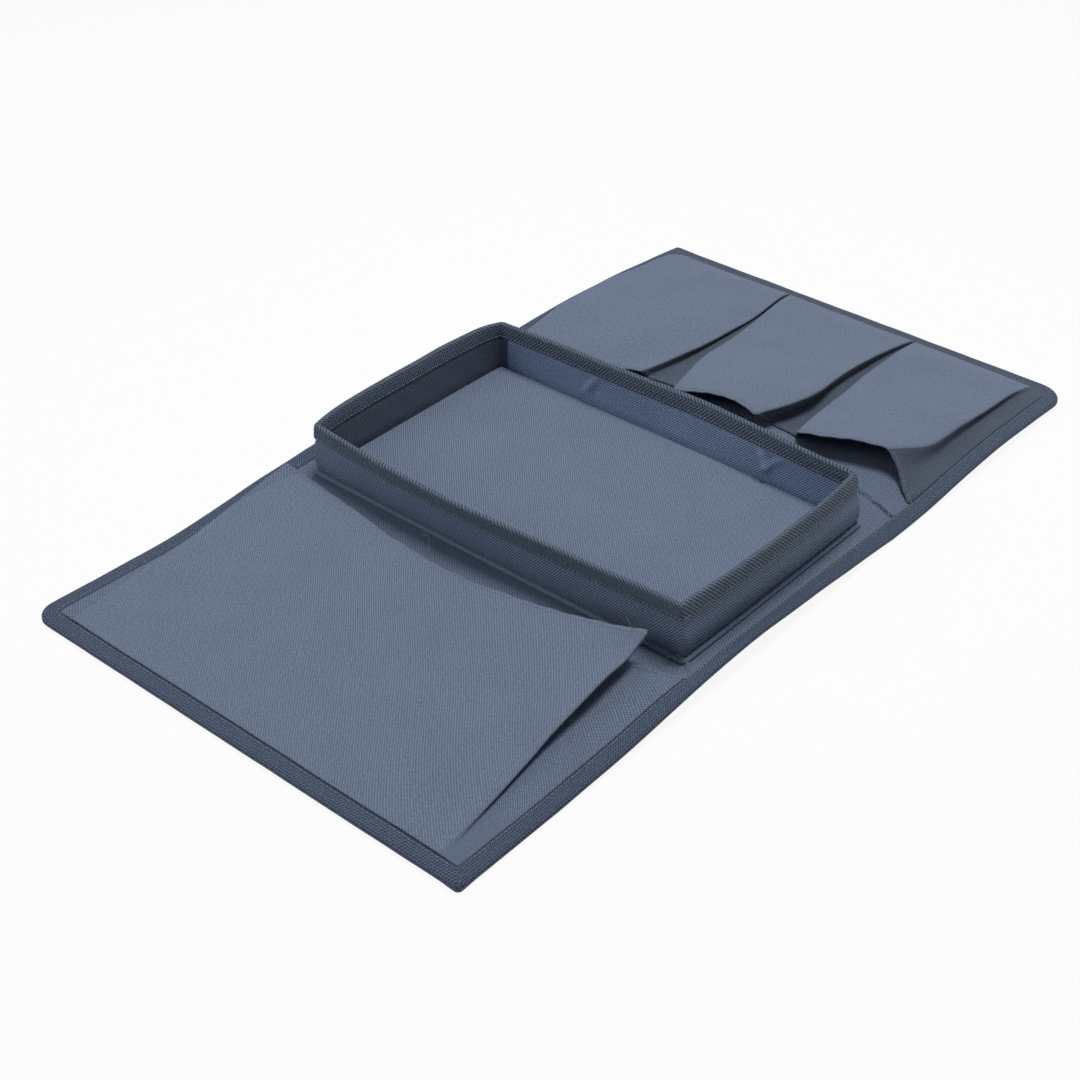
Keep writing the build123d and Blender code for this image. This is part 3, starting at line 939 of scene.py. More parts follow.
class TRAY_OT_boards(Operator):
    """Give the hidden stiffening boards their grey board finish, and bend those in the walls"""

    bl_idname = "sofa_tray.boards"
    bl_label = "Boards"

    def execute(self, context):
        for name in ("base_board", "floor_board"):
            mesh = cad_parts[name].data
            mesh.materials.clear()
            mesh.materials.append(bpy.data.materials["greyboard"])
        for side in SIDES:
            board = dress(make_wall_board(side), "greyboard")
            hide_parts(f"wall_board_{side}")
            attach(board, "tray")
        return {"FINISHED"}


# The pockets. A net is rows from the seam to the mouth, each of (x, y, height above the panel's face).

# Columns: gusset's outer edge, where it goes under the front, front's left fold, five places on the
# front, its right fold, the gusset's inward fold, and the gusset's outer edge.
NEAR_NET = (
    (
        (-165.4, -297.0, -0.1), (-151.5, -297.2, 0.35), (-152.5, -297.2, 0.9), (-120, -297.3, 0.6),
        (-60, -297.3, 0.6), (0, -297.3, 0.6), (50, -297.3, 0.6), (100, -297.3, 0.6), (152.5, -297.2, 0.8),
        (158, -297.2, 0.3), (165.4, -297, -0.1),
    ),
    (
        (-165.4, -250.0, -0.1), (-155.5, -250.0, 0.4), (-157.5, -250.0, 2.0), (-120, -250.0, 2.2),
        (-60, -250.0, 2.4), (0, -250.0, 2.4), (50, -250.0, 2.3), (100, -250.0, 2.3), (149.0, -250.0, 3.2),
        (146, -250.0, 0.4), (165.4, -250, -0.1),
    ),
    (
        (-165.5, -200.0, 0.0), (-161.0, -200.0, 0.5), (-163.2, -200.0, 2.1), (-120, -200.0, 2.8),
        (-60, -200.0, 3.4), (0, -200.0, 3.4), (50, -200.0, 3.2), (100, -200.0, 3.8), (143.0, -200.0, 7.2),
        (137, -202.0, 0.6), (165.4, -200, -0.1),
    ),
    (
        (-168.5, -152.0, 1.0), (-164.0, -152.0, 0.9), (-166.0, -152.0, 2.4), (-120, -156.0, 3.1),
        (-60, -160.0, 4.0), (0, -162.0, 4.1), (50, -160.0, 4.2), (100, -155.0, 6.8), (140.0, -148.0, 13.8),
        (131, -156.0, 1.4), (165.4, -154, -0.1),
    ),
    (
        (-171.0, -124.0, 1.1), (-160.5, -124.0, 0.9), (-162.3, -123.0, 2.3), (-120, -129.0, 3.3),
        (-60, -135.5, 4.1), (0, -138.0, 4.5), (50, -133.0, 5.0), (100, -127.0, 9.8), (138.4, -121.5, 15.6),
        (131, -131.0, 4.4), (165.4, -124, -0.1),
    ),
    (
        (-173.5, -98.6, 1.0), (-157.0, -99.6, 0.9), (-158.8, -99.2, 2.1), (-120, -106.0, 3.3),
        (-60, -115.6, 3.9), (0, -118.8, 4.4), (50, -111.8, 5.8), (100, -106.6, 12.7), (138.6, -105.4, 24.6),
        (134, -120.5, 8.6), (165.4, -103, -0.1),
    ),
)
# The columns at which the cloth turns sharply
NEAR_FOLDS = (1, 2, 8, 9)

# Columns: first pocket's gusset edge, its left fold, two places, its right fold; the pleat's two inner
# folds; second pocket's left fold, two places, right fold; the pleat again; third pocket's left fold,
# one place, right fold; two places down its gusset, and the gusset's outer edge.
FAR_NET = (
    (
        (-165.4, 314.6, -0.1), (-162, 314.6, 0.5), (-125, 314.8, 0.6), (-90, 314.8, 0.6), (-57.0, 314.8, 1.2),
        (-57.4, 314.6, 0.2), (-56.0, 314.6, 0.2), (-55.2, 314.8, 0.9), (0, 314.8, 0.6), (33, 314.8, 0.6),
        (54.5, 314.8, 1.3), (54.2, 314.6, 0.2), (55.6, 314.6, 0.2), (56.2, 314.8, 1.0), (100, 314.8, 0.6),
        (152.5, 313.8, 0.8), (156.5, 314.2, 0.4), (160, 314.4, 0.2), (165.4, 314.6, -0.1),
    ),
    (
        (-165.5, 306, 0.4), (-166, 306, 2.0), (-125, 306, 2.8), (-90, 306, 3.0), (-55.8, 306, 2.6),
        (-56.6, 305, 0.2), (-54.4, 305, 0.2), (-54, 306, 2.2), (0, 306, 2.9), (33, 306, 3.0),
        (54.3, 306, 3.0), (53.4, 305, 0.2), (56.3, 305, 0.2), (56.7, 306, 2.4), (100, 306, 3.0),
        (152.2, 304, 2.6), (154, 304, 0.6), (159, 304, 0.3), (165.4, 304, -0.1),
    ),
    (
        (-166, 268, 0.9), (-169.5, 268, 2.6), (-125, 268, 3.4), (-90, 268, 3.6), (-50.2, 268, 2.8),
        (-53.5, 269, 0.2), (-48.0, 269, 0.2), (-48.9, 266, 2.3), (0, 268, 3.4), (33, 268, 4.2),
        (53, 268, 6.0), (50.0, 270, 0.2), (58.5, 270, 0.2), (58.3, 268, 3.4), (100, 268, 4.6),
        (152.5, 266, 6.0), (149, 266, 1.6), (157.5, 266, 0.5), (165.4, 266, -0.1),
    ),
    (
        (-166.5, 220, 1.0), (-172, 220, 3.2), (-125, 220, 5.2), (-90, 220, 5.8), (-49.3, 218, 4.6),
        (-54, 222, 0.2), (-42.5, 222, 0.2), (-43.4, 220, 2.9), (0, 220, 6.0), (33, 220, 7.0),
        (52.5, 217, 8.2), (47.5, 222, 0.2), (62.5, 222, 0.2), (62.0, 220, 4.2), (100, 220, 8.0),
        (151.5, 214, 9.5), (149.5, 214, 2.6), (157.5, 214, 1.0), (165.4, 214, -0.1),
    ),
    (
        (-166.5, 180, 1.0), (-171, 180, 3.0), (-125, 180, 5.4), (-90, 180, 6.6), (-52.3, 182, 5.8),
        (-57, 180, 0.2), (-40, 180, 0.2), (-41, 180.5, 4.6), (0, 180, 11.0), (33, 180, 12.6),
        (55.9, 177.4, 13.0), (46.5, 182, 0.2), (65.3, 182, 0.2), (65.8, 180, 7.4), (98, 180, 12.8),
        (150, 182, 13.0), (150.5, 178, 4.5), (158, 176, 1.4), (165.4, 176, -0.1),
    ),
    (
        (-165.8, 135, 0.6), (-167, 135, 1.4), (-125, 134.5, 2.0), (-90, 133.5, 3.4), (-60.5, 136.5, 8.6),
        (-60, 143, 0.3), (-37.5, 146, 0.3), (-28.2, 132.5, 9.0), (9.2, 136.5, 16.0), (25.9, 136.9, 16.0),
        (40, 133.8, 14.5), (41, 150, 0.3), (66.4, 148, 0.3), (74.7, 133.7, 14.4), (104, 141.5, 18.0),
        (134, 151.8, 19.0), (145.6, 148.8, 9.0), (152.8, 141.9, 4.6), (165.4, 132, -0.1),
    ),
)
FAR_FOLDS = (1, 4, 5, 6, 7, 10, 11, 12, 13, 15)
HEM_WIDTH = 6.0


def drape(net, folds, spacing):
    """A fine grid over a net of given points, smooth but for its folds, and its flat map."""
    net = np.array(net, float)
    along = run_lengths(net.mean(1))
    across = np.mean([run_lengths(row) for row in net], 0)
    v, u = stations(along, spacing), stations(across, spacing)
    rows = smooth_line(along, net, v)
    grid = smooth_line(across, rows.swapaxes(0, 1), u, folds).swapaxes(0, 1)
    return grid, np.stack(np.meshgrid(u, v), -1)


def two_cloths(obj, net, fronts, material):
    """Gives all of a pocket but its fronts a second cloth, and its cut edges a paler one: a painted
    highlight.
    fronts is pairs of the net's columns."""
    across = np.mean([run_lengths(row) for row in np.array(net, float)], 0)
    for name in (material, "oxford cloth hem edge with painted highlight"):
        obj.data.materials.append(bpy.data.materials[name])
    uv = np.empty(len(obj.data.loops) * 2, np.float32)
    obj.data.uv_layers["weave"].data.foreach_get("uv", uv)
    uv = uv.reshape(-1, 4, 2)
    place = uv[..., 0].mean(1)
    front = sum((place > across[a]) & (place < across[b]) for a, b in fronts)
    # A face between the two sides has no size on the flat map.
    cut = np.isclose(uv[:, 0], uv[:, 3]).all(1) & np.isclose(uv[:, 1], uv[:, 2]).all(1)
    # The cut edges take a lighter copy of the pockets' cloth: a painted highlight.
    which = np.where(cut, 2, np.where(front, 0, 1))
    obj.data.polygons.foreach_set("material_index", which.astype(np.int32))


def make_pocket(name, net, folds):
    """A pocket with its gussets and pleats as one sheet, doubled at its hem and puckered by its stitches.
    It comes with its hem's stitch line."""
    soft = bpy.context.scene.tray_cloth.softness
    grid, uv = drape(net, folds, 3.4)
    x, y, height = np.moveaxis(grid, -1, 0)
    lifted = smoothstep(height, 0.6, 3.5)
    height = height + soft * 0.85 * ripple(x, y, 58, 9) * lifted + soft * 0.25 * ripple(x, y, 23, 11) * lifted
    from_seam = run_lengths(grid.mean(1))
    to_mouth = from_seam[-1] - from_seam
    near_hem = np.exp(-to_mouth / 9)[:, None]
    pucker = np.sin(uv[..., 0] * 2 * math.pi / 17 + ripple(x, y, 60, 2))
    height = height + soft * 0.28 * near_hem * pucker * lifted
    middle = face_point(x, y, height + 0.45)
    normal = with_normals(middle)
    double = (CLOTH + 0.75 * (1 - smoothstep(to_mouth, HEM_WIDTH - 0.6, HEM_WIDTH + 0.6)))[:, None, None]
    top, bottom = middle + normal * double / 2, middle - normal * double / 2
    below = face_point(x, y, CLEAR)[..., 2]
    bottom[..., 2] = np.where(height > 0.2, np.maximum(bottom[..., 2], below), bottom[..., 2])
    piece = two_sided(name, top, bottom, uv, None)
    subdivided(piece)
    seam = np.argmin(np.abs(to_mouth - 2.6))
    return piece, top[seam] + normal[seam] * 0.1


class TRAY_OT_near_pocket(Operator):
    """Lay the single wide bellows pocket on the near flap, lifted at its right side"""

    bl_idname = "sofa_tray.near_pocket"
    bl_label = "Near Pocket"

    def execute(self, context):
        pocket, hem = make_pocket("near_pocket", NEAR_NET, NEAR_FOLDS)
        dress(pocket, "oxford cloth pockets")
        two_cloths(pocket, NEAR_NET, ((2, 8),), "oxford cloth panel")
        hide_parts("near_pocket_front", "near_pocket_gusset_left", "near_pocket_gusset_right")
        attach(pocket, "near_flap")
        SEAMS["near_flap"].append(hem)
        return {"FINISHED"}


class TRAY_OT_far_pockets(Operator):
    """Lay the row of three pockets on the far flap, with a pleat between neighbours"""

    bl_idname = "sofa_tray.far_pockets"
    bl_label = "Far Pockets"

    def execute(self, context):
        pockets, hem = make_pocket("far_pockets", FAR_NET, FAR_FOLDS)
        dress(pockets, "oxford cloth pockets")
        # All but the fronts take the gussets' cloth, a darker copy of the panel's cloth: painted shade.
        two_cloths(pockets, FAR_NET, ((1, 4), (7, 10), (13, 15)), "oxford cloth gussets")
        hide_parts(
            "far_pocket_front_1", "far_pocket_front_2", "far_pocket_front_3",
            "far_pocket_gusset_left", "far_pocket_gusset_right", "far_pocket_pleat_12", "far_pocket_pleat_23",
        )
        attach(pockets, "far_flap")
        SEAMS["far_flap"].append(hem)
        return {"FINISHED"}


# Stitching


def set_inputs(tree, node, inputs):
    """Gives a node's inputs their values, or their links from a socket or another node's first output."""
    for key, value in dict(inputs).items():
        if isinstance(value, bpy.types.Node):
            value = value.outputs[0]
        if isinstance(value, bpy.types.NodeSocket):
            tree.links.new(value, node.inputs[key])
        else:
            node.inputs[key].default_value = value
    return node


def add_node(tree, kind, inputs=(), **settings):
    """Adds a node to a shader or geometry tree, with its settings and with values or links for its inputs."""
    made = tree.nodes.new(kind)
    for key, value in settings.items():
        setattr(made, key, value)
    return set_inputs(tree, made, inputs)


def stitch_tree():
    """Geometry nodes that set a stitch at every step along the lines they are given."""
    tree = bpy.data.node_groups.new("stitches along a line", "GeometryNodeTree")
    face = tree.interface
    face.new_socket("Lines", in_out="INPUT", socket_type="NodeSocketGeometry")
    for name in ("Spacing", "Length", "Thickness"):
        socket = face.new_socket(name, in_out="INPUT", socket_type="NodeSocketFloat")
        socket.subtype = "DISTANCE"
    face.new_socket("Thread", in_out="INPUT", socket_type="NodeSocketMaterial")
    face.new_socket("Stitches", in_out="OUTPUT", socket_type="NodeSocketGeometry")
    given = tree.nodes.new("NodeGroupInput")
    lines = add_node(tree, "GeometryNodeMeshToCurve", {"Mesh": given.outputs["Lines"]})
    steps = add_node(
        tree, "GeometryNodeResampleCurve", {"Curve": lines, "Length": given.outputs["Spacing"]},
        mode="LENGTH",
    )
    ball = add_node(tree, "GeometryNodeMeshUVSphere", {"Segments": 6, "Rings": 5, "Radius": 0.5})
    size = add_node(
        tree, "ShaderNodeCombineXYZ",
        {"X": given.outputs["Length"], "Y": given.outputs["Thickness"], "Z": given.outputs["Thickness"]},
    )
    stitch = add_node(tree, "GeometryNodeTransform", {"Geometry": ball, "Scale": size})
    tangent = add_node(tree, "GeometryNodeInputTangent")
    turn = add_node(tree, "FunctionNodeAlignRotationToVector", {"Vector": tangent}, axis="X")
    uneven = add_node(tree, "FunctionNodeRandomValue", {"Seed": 7}, data_type="FLOAT")
    limits = {"Min": 0.86, "Max": 1.08}
    for socket in uneven.inputs:
        if socket.type == "VALUE" and socket.name in limits:
            socket.default_value = limits[socket.name]
    factor = [s for s in uneven.outputs if s.enabled][0]
    placed = add_node(tree, "GeometryNodeInstanceOnPoints", {
        "Points": steps, "Instance": stitch, "Rotation": turn, "Scale": factor,
    })
    real = add_node(tree, "GeometryNodeRealizeInstances", {"Geometry": placed})
    coloured = add_node(
        tree, "GeometryNodeSetMaterial", {"Geometry": real, "Material": given.outputs["Thread"]},
    )
    add_node(tree, "NodeGroupOutput", {"Stitches": coloured})
    return tree


def add_threads(name, paths, thickness):
    """Loose lengths of thread as round tubes, from lists of points in millimetres."""
    curve = bpy.data.curves.new(name, "CURVE")
    curve.dimensions = "3D"
    curve.bevel_depth = thickness / 2
    curve.bevel_resolution = 1
    curve.use_fill_caps = True
    for path in paths:
        spline = curve.splines.new("NURBS")
        spline.points.add(len(path) - 1)
        for point, place in zip(spline.points, path):
            point.co = (*(c * MM for c in place), 1)
        spline.order_u = 3
        spline.use_endpoint_u = True
        spline.resolution_u = 4
    obj = add_object(name, curve)
    mesh = bpy.data.meshes.new_from_object(obj.evaluated_get(bpy.context.evaluated_depsgraph_get()))
    bpy.data.objects.remove(obj)
    mesh.shade_smooth()
    return add_object(name, mesh)


class TRAY_OT_stitching(Operator):
    """Sew every line that the pieces left, with one mesh of stitches for each moving body"""

    bl_idname = "sofa_tray.stitching"
    bl_label = "Stitching"

    def execute(self, context):
        sizes = context.scene.tray_stitches
        tree = stitch_tree()
        sockets = {item.name: item.identifier for item in tree.interface.items_tree if item.in_out == "INPUT"}
        for body, lines in SEAMS.items():
            points, edges = [], []
            for line in lines:
                start = len(points)
                points += [tuple(p) for p in line]
                edges += [(start + i, start + i + 1) for i in range(len(line) - 1)]
            mesh = bpy.data.meshes.new(f"stitches_{body}")
            mesh.from_pydata((np.array(points) * MM).tolist(), edges, [])
            obj = add_object(f"stitches_{body}", mesh)
            sewing = obj.modifiers.new("sewing", "NODES")
            sewing.node_group = tree
            sewing[sockets["Spacing"]] = sizes.spacing
            sewing[sockets["Length"]] = sizes.length
            sewing[sockets["Thickness"]] = sizes.thickness
            sewing[sockets["Thread"]] = bpy.data.materials["sewing thread"]
            finished(obj)
            obj.data.shade_smooth()
            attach(obj, body)
        return {"FINISHED"}


class TRAY_OT_loose_threads(Operator):
    """Leave the few loose thread ends that the photograph shows at hems and corners"""

    bl_idname = "sofa_tray.loose_threads"
    bl_label = "Loose Threads"

    def execute(self, context):
        thickness = context.scene.tray_stitches.thickness * 0.8
        ends = {
            "near_flap": [
                [tuple(face_point(128, -106.5, 21)), (128.5, -109, 30), (127, -111, 35), (127.5, -113, 39)],
                [
                    (-49.5, -103.5, 5.6), (-49, -99.5, 8.4), (-45, -99, 9.2), (-40.5, -101.5, 8.2),
                    (-34.5, -109.0, 6.4),
                ],
            ],
            "far_flap": [
                [(137, 174, 17.6), (141, 172, 17), (143.5, 170, 14.5), (144, 169, 11)],
            ],
            "tray": [
                [(152.5, -91.2, 7), (151, -94, 9.0), (148, -96, 10.6), (145.5, -97.5, 9.0)],
                [(152.8, -91.6, 8), (153.6, -94, 11), (151.6, -95.5, 13)],
                [(151.9, -90.6, 8.5), (152.3, -91.0, 14), (152.2, -90.9, 19), (151.2, -90.4, 25)],
            ],
        }
        for body, paths in ends.items():
            threads = add_threads(f"loose_threads_{body}", paths, thickness)
            dress(threads, "sewing thread")
            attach(threads, body)
        return {"FINISHED"}


# Materials


def new_material(name):
    """An empty material with its output and one shader."""
    material = bpy.data.materials.new(name)
    material.use_nodes = True
    tree = material.node_tree
    tree.nodes.clear()
    shader = tree.nodes.new("ShaderNodeBsdfPrincipled")
    add_node(tree, "ShaderNodeOutputMaterial", {"Surface": shader})
    return tree, shader


def oxford_cloth(name, colour, spacing, turn, contrast=1.0, crossing=0.3):
    """Woven polyester oxford cloth, coated on its back: matt, with fine raised ribs that a finer thread
    crosses, a soft bloom where the threads' hairs catch the light, and slight cloudiness of dye and lie.
    The real threads are about 0.4 mm apart. They are drawn at the spacing that the photograph shows."""
    tree, shader = new_material(name)
    flat = add_node(tree, "ShaderNodeUVMap", uv_map="weave")
    slack = add_node(tree, "ShaderNodeTexNoise", {"Vector": flat, "Scale": 1 / 9, "Detail": 2})
    bend = add_node(
        tree, "ShaderNodeVectorMath", {0: slack.outputs["Color"], 1: (0.5, 0.5, 0.5)}, operation="SUBTRACT",
    )
    drift = add_node(tree, "ShaderNodeVectorMath", {0: bend, "Scale": 0.9}, operation="SCALE")
    place = add_node(tree, "ShaderNodeVectorMath", {0: flat, 1: drift}, operation="ADD")
    turned = add_node(tree, "ShaderNodeMapping", {"Vector": place, "Rotation": (0, 0, -turn)})
    axes = add_node(tree, "ShaderNodeSeparateXYZ", {0: turned})
    wave = 2 * math.pi / (spacing / MM)
    across = add_node(tree, "ShaderNodeMath", {0: axes.outputs["Y"], 1: wave}, operation="MULTIPLY")
    rib = add_node(tree, "ShaderNodeMath", {0: across}, operation="SINE")
    along = add_node(tree, "ShaderNodeMath", {0: axes.outputs["X"], 1: wave * 0.94}, operation="MULTIPLY")
    pick = add_node(tree, "ShaderNodeMath", {0: along}, operation="SINE")
    crossed = add_node(tree, "ShaderNodeMath", {0: pick, 1: 0.5 * crossing, 2: 0.5}, operation="MULTIPLY_ADD")
    height = add_node(
        tree, "ShaderNodeMath", {0: rib, 1: 0.5 * (1 - crossing), 2: crossed}, operation="MULTIPLY_ADD",
    )
    yarn = add_node(
        tree, "ShaderNodeTexNoise", {"Vector": turned, "Scale": 0.55, "Detail": 3, "Roughness": 0.75},
    )
    cloud = add_node(tree, "ShaderNodeTexNoise", {"Vector": flat, "Scale": 1 / 38, "Detail": 3})
    # The ribs' tops are painted lighter and their grooves darker, by the contrast: partly the threads' own
    # shades, partly painted light and shade over the bump.
    lit, shade = ([min(1, c * k) for c in colour] + [1] for k in (1 + 0.5 * contrast, 1 - 0.5 * contrast))
    woven = add_node(tree, "ShaderNodeMix", {"Factor": height, "A": shade, "B": lit}, data_type="RGBA")
    specks = add_node(
        tree, "ShaderNodeMapRange",
        {"Value": yarn, "From Min": 0.3, "From Max": 0.7, "To Min": 0.72, "To Max": 1.28},
    )
    clouds = add_node(
        tree, "ShaderNodeMapRange",
        {"Value": cloud, "From Min": 0.3, "From Max": 0.7, "To Min": 0.96, "To Max": 1.04},
    )
    level = add_node(tree, "ShaderNodeMath", {0: specks, 1: clouds}, operation="MULTIPLY")
    tinted = add_node(
        tree, "ShaderNodeVectorMath", {0: woven.outputs["Result"], "Scale": level}, operation="SCALE",
    )
    lie = add_node(tree, "ShaderNodeTexNoise", {"Vector": flat, "Scale": 1 / 16, "Detail": 2})
    soft = add_node(tree, "ShaderNodeBump", {"Height": lie, "Strength": 0.2, "Distance": 1.2 * MM})
    bump = add_node(
        tree, "ShaderNodeBump", {"Height": height, "Strength": 0.6, "Distance": 0.25 * MM, "Normal": soft},
    )
    rough = add_node(tree, "ShaderNodeMapRange", {"Value": height, "To Min": 0.86, "To Max": 0.7})
    set_inputs(tree, shader, {
        "Base Color": tinted, "Normal": bump, "Roughness": rough, "IOR": 1.5, "Specular IOR Level": 0.35,
        "Sheen Weight": 0.12, "Sheen Roughness": 0.5,
    })


def webbing(name, colour, spacing, turn_at, knot, flecks, fleck_colour):
    """Woven polyester herringbone webbing: heavier than the cloth, with slanting ridges that turn back at
    one line of its width, pale dots where the weft shows, painted shade in the grooves and painted light on
    the ridges.
    The real ridges are about 1 mm apart. They are drawn wider, as coarse as the render needs."""
    tree, shader = new_material(name)
    flat = add_node(tree, "ShaderNodeUVMap", uv_map="weave")
    axes = add_node(tree, "ShaderNodeSeparateXYZ", {0: flat})
    turned = add_node(tree, "ShaderNodeMath", {0: axes.outputs["Y"], 1: turn_at}, operation="PINGPONG")
    slant = add_node(tree, "ShaderNodeMath", {0: turned, 1: axes.outputs["X"]}, operation="ADD")
    wave = 2 * math.pi / (spacing / MM)
    phase = add_node(tree, "ShaderNodeMath", {0: slant, 1: wave}, operation="MULTIPLY")
    ridge = add_node(tree, "ShaderNodeMath", {0: phase}, operation="SINE")
    steps = add_node(tree, "ShaderNodeMath", {0: axes.outputs["Y"], 1: wave * 1.2}, operation="MULTIPLY")
    weft = add_node(tree, "ShaderNodeMath", {0: steps}, operation="SINE")
    knots = add_node(tree, "ShaderNodeMath", {0: weft, 1: knot, 2: 0.5}, operation="MULTIPLY_ADD")
    height = add_node(tree, "ShaderNodeMath", {0: ridge, 1: 0.54 - knot, 2: knots}, operation="MULTIPLY_ADD")
    # Painted shade darkens the grooves and painted light brightens the ridges; the weft's dots are paler
    # yarn.
    dark, pale = ([min(1, c * k) for c in colour] + [1] for k in (0.1, 2.2))
    woven = add_node(tree, "ShaderNodeMix", {"Factor": height, "A": dark, "B": pale}, data_type="RGBA")
    hairs = add_node(tree, "ShaderNodeTexNoise", {"Vector": flat, "Scale": 0.8, "Detail": 2})
    share = add_node(
        tree, "ShaderNodeMapRange",
        {"Value": hairs, "From Min": 0.54, "From Max": 0.64, "To Min": 0, "To Max": flecks},
    )
    flecked = add_node(
        tree, "ShaderNodeMix",
        {"Factor": share, "A": woven.outputs["Result"], "B": [*linear(fleck_colour), 1]}, data_type="RGBA",
    )
    bump = add_node(tree, "ShaderNodeBump", {"Height": height, "Strength": 0.8, "Distance": 0.4 * MM})
    set_inputs(tree, shader, {
        "Base Color": flecked.outputs["Result"], "Normal": bump, "Roughness": 0.8, "IOR": 1.5,
        "Specular IOR Level": 0.3, "Sheen Weight": 0.1,
    })


def sewing_thread(name, colour):
    """Spun polyester thread: paler than the cloth, slightly shiny, with the shade of its twist."""
    tree, shader = new_material(name)
    place = add_node(tree, "ShaderNodeTexCoord")
    twist = add_node(
        tree, "ShaderNodeTexNoise", {"Vector": place.outputs["Object"], "Scale": 900, "Detail": 1},
    )
    level = add_node(
        tree, "ShaderNodeMapRange",
        {"Value": twist, "From Min": 0.35, "From Max": 0.65, "To Min": 0.7, "To Max": 1.25},
    )
    tinted = add_node(tree, "ShaderNodeVectorMath", {0: colour, "Scale": level}, operation="SCALE")
    set_inputs(tree, shader, {"Base Color": tinted, "Roughness": 0.6, "Sheen Weight": 0.2})


def greyboard(name):
    """Pressed recycled greyboard: dull, warm grey, with short fibres in it."""
    tree, shader = new_material(name)
    place = add_node(tree, "ShaderNodeTexCoord")
    fibres = add_node(
        tree, "ShaderNodeTexNoise",
        {"Vector": place.outputs["Object"], "Scale": 700, "Detail": 5, "Roughness": 0.7},
    )
    shades = add_node(
        tree, "ShaderNodeMix", {"Factor": fibres, "A": [*linear("#77716A"), 1], "B": [*linear("#A49D93"), 1]},
        data_type="RGBA",
    )
    bump = add_node(tree, "ShaderNodeBump", {"Height": fibres, "Strength": 0.3, "Distance": 0.1 * MM})
    set_inputs(tree, shader, {"Base Color": shades.outputs["Result"], "Normal": bump, "Roughness": 0.92})


class TRAY_OT_materials(Operator):
    """Make the cloths, the two webbings, the thread and the board"""

    bl_idname = "sofa_tray.materials"
    bl_label = "Materials"

    def execute(self, context):
        cloth, tape = context.scene.tray_cloth, context.scene.tray_webbing
        panel, pocket = list(cloth.panel_colour), list(cloth.pocket_colour)
        on_panel, on_pockets = cloth.rib_turn + math.radians(4), cloth.rib_turn
        on_gussets = cloth.rib_turn + math.radians(80)
        on_walls, on_lining = math.radians(47), math.radians(43)
        # Name, colour, painted light, share of the rib spacing, turn, contrast, crossing. The real tray is
        # very likely one cloth:
        #         painted light makes a piece a lighter or darker copy of it, nearer to the tone that it shows
        #         where the light falls on it. It is painted light on the walls, lining, welt and cut edges,
        #         and painted shade on the gussets and the lining of the left end wall.
        for name, base, painted_light, share, turn, contrast, crossing in (
            ("panel", panel, 1, 1, on_panel, 1.0, 0.42),
            ("pockets", pocket, 1, 1, on_pockets, 0.6, 0.2),
            ("hem edge with painted highlight", pocket, 1.45, 1, on_pockets, 0.4, 0.2),
            ("gussets", panel, 0.52, 1.3, on_gussets, 0.8, 0.25),
            ("walls", panel, 1.2, 0.94, on_walls, 1.5, 0.15),
            ("lining", panel, 1.8, 0.95, on_lining, 1.5, 0.15),
            ("end lining", panel, 0.5, 0.95, on_lining, 1.5, 0.15),
            ("floor", pocket, 1, 1, on_panel, 0.7, 0.2),
            ("welt", panel, 1.4, 1, on_walls, 0.7, 0.3),
        ):
            tinted = [c * painted_light for c in base]
            oxford_cloth(f"oxford cloth {name}", tinted, cloth.rib_spacing * share, turn, contrast, crossing)
        webbing(
            "edge webbing", list(tape.edge_colour), tape.twill_spacing * 0.75, 11.0, 0.26, 0.35, "#7A8794",
        )
        webbing("rim webbing", list(tape.rim_colour), tape.twill_spacing, RIM_TURN, 0.1, 0.4, "#7D8482")
        sewing_thread("sewing thread", list(context.scene.tray_stitches.thread_colour))
        greyboard("greyboard")
        return {"FINISHED"}


# The stage


# The studio floor in millimetres. It lies below the stitches on the panel's underside.
STUDIO_HALF = 12000
STUDIO_HEIGHT = -0.5

# The lamps in metres, and how strong the sky is
KEY_PLACE = (0.05, 0.3, 1.9)
KEY_SIZE = 0.7
FILL_PLACE = (-1.1, -1.5, 1.15)
FILL_SIZE = 1.1
FILL_SHARE = 0.38
LAMPS_AIM = Vector((0, 0, 0.01))
SKY_STRENGTH = 0.12

# The camera of the photograph: its place in metres, its tilt, roll and turn in degrees, and its lens in mm
CAMERA_PLACE = (0.668707, -0.804822, 0.722490)
CAMERA_TURN = (54.3547, 0.3717, 40.9749)
CAMERA_LENS = 64.7
CAMERA_SENSOR = 36


def shows_white(tree, camera_share):
    """How much of a ray sees plain white: camera rays by a share, and glossy and transmission rays."""
    rays = add_node(tree, "ShaderNodeLightPath")
    seen = add_node(
        tree, "ShaderNodeMath", {0: rays.outputs["Is Camera Ray"], 1: camera_share}, operation="MULTIPLY",
    )
    mirrored = add_node(
        tree, "ShaderNodeMath", {0: rays.outputs["Is Glossy Ray"], 1: rays.outputs["Is Transmission Ray"]},
        operation="MAXIMUM",
    )
    return add_node(tree, "ShaderNodeMath", {0: seen, 1: mirrored}, operation="MAXIMUM")


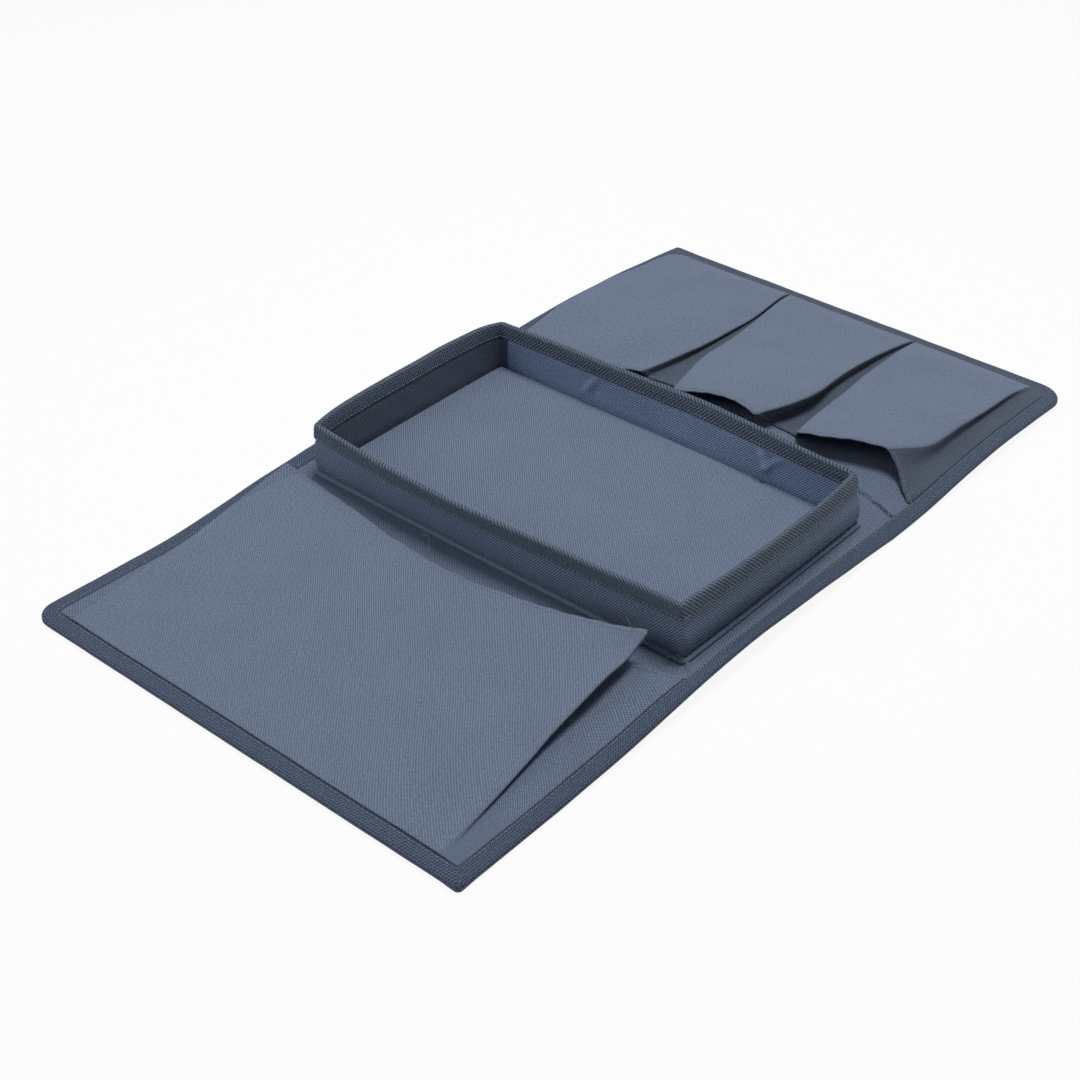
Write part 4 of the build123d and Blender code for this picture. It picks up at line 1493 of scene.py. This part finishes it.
class TRAY_OT_stage(Operator):
    """Set the pale floor, the soft studio lights and the camera of the photograph"""

    bl_idname = "sofa_tray.stage"
    bl_label = "Stage"

    def execute(self, context):
        scene, stage = context.scene, context.scene.tray_stage
        corners = [
            (x * STUDIO_HALF, y * STUDIO_HALF, STUDIO_HEIGHT) for x, y in ((-1, -1), (1, -1), (1, 1), (-1, 1))
        ]
        floor = add_mesh("studio_floor", corners, [(0, 1, 2, 3)])
        tree, shader = new_material("matt paper floor")
        colour = (*stage.floor_colour, 1)
        set_inputs(tree, shader, {"Base Color": colour, "Roughness": 1, "Specular IOR Level": 0})
        white = add_node(tree, "ShaderNodeEmission", {"Color": (1, 1, 1, 1), "Strength": 1})
        shown = shows_white(tree, 1 - stage.shadow_share)
        mixed = add_node(tree, "ShaderNodeMixShader", {0: shown, 1: shader, 2: white})
        output = [n for n in tree.nodes if n.type == "OUTPUT_MATERIAL"][0]
        set_inputs(tree, output, {"Surface": mixed})
        floor.data.materials.append(bpy.data.materials["matt paper floor"])

        world = bpy.data.worlds.new("studio")
        world.use_nodes = True
        tree = world.node_tree
        tree.nodes.clear()
        lit = add_node(tree, "ShaderNodeBackground", {"Color": (0.93, 0.96, 1, 1), "Strength": SKY_STRENGTH})
        white = add_node(tree, "ShaderNodeBackground", {"Color": (1, 1, 1, 1), "Strength": 1})
        mixed = add_node(tree, "ShaderNodeMixShader", {0: shows_white(tree, 1), 1: lit, 2: white})
        add_node(tree, "ShaderNodeOutputWorld", {"Surface": mixed})
        scene.world = world

        for name, place, size, share, colour in (
            ("key_light", KEY_PLACE, KEY_SIZE, 1, (1, 0.98, 0.96)),
            ("fill_light", FILL_PLACE, FILL_SIZE, FILL_SHARE, (0.96, 0.98, 1)),
        ):
            lamp = bpy.data.lights.new(name, "AREA")
            lamp.size = size
            lamp.energy = stage.key_power * share
            lamp.color = colour
            turn = (LAMPS_AIM - Vector(place)).to_track_quat("-Z", "Y")
            add_object(name, lamp).matrix_world = Matrix.Translation(place) @ turn.to_matrix().to_4x4()

        camera = add_object("camera", bpy.data.cameras.new("camera"))
        camera.data.lens = CAMERA_LENS
        camera.data.sensor_width = CAMERA_SENSOR
        camera.data.clip_end = 100
        turn = Euler([math.radians(angle) for angle in CAMERA_TURN])
        camera.matrix_world = Matrix.Translation(CAMERA_PLACE) @ turn.to_matrix().to_4x4()
        scene.camera = camera
        scene.view_settings.view_transform = "Standard"
        return {"FINISHED"}


class TRAY_PT_sidebar(Panel):
    """Settings and steps of the sofa arm tray"""

    bl_idname = "TRAY_PT_sidebar"
    bl_label = "Sofa Arm Tray"
    bl_space_type = "VIEW_3D"
    bl_region_type = "UI"
    bl_category = "Sofa Arm Tray"

    def draw(self, context):
        layout = self.layout
        for group in (name for name, _ in SETTINGS):
            box = layout.box()
            settings = getattr(context.scene, group)
            for prop in settings.bl_rna.properties:
                if prop.identifier not in ("rna_type", "name"):
                    box.prop(settings, prop.identifier)
        for step in STEPS:
            layout.operator(step.bl_idname)


SETTINGS = (
    ("tray_cloth", ClothSettings),
    ("tray_webbing", WebbingSettings),
    ("tray_stitches", StitchSettings),
    ("tray_sizes", TraySettings),
    ("tray_stage", StageSettings),
)
STEPS = (
    TRAY_OT_materials, TRAY_OT_panel, TRAY_OT_edge_tape, TRAY_OT_walls, TRAY_OT_floor, TRAY_OT_rim_tape,
    TRAY_OT_foot_welt, TRAY_OT_boards, TRAY_OT_near_pocket, TRAY_OT_far_pockets, TRAY_OT_stitching,
    TRAY_OT_loose_threads, TRAY_OT_stage,
)


def register():
    for name, group in SETTINGS:
        bpy.utils.register_class(group)
        setattr(bpy.types.Scene, name, PointerProperty(type=group))
    for step in STEPS + (TRAY_PT_sidebar,):
        bpy.utils.register_class(step)


def unregister():
    for step in (TRAY_PT_sidebar,) + STEPS[::-1]:
        bpy.utils.unregister_class(step)
    for name, group in reversed(SETTINGS):
        delattr(bpy.types.Scene, name)
        bpy.utils.unregister_class(group)


def main():
    register()
    for step in STEPS:
        area, name = step.bl_idname.split(".")
        getattr(getattr(bpy.ops, area), name)()


if __name__ == "__main__":
    main()
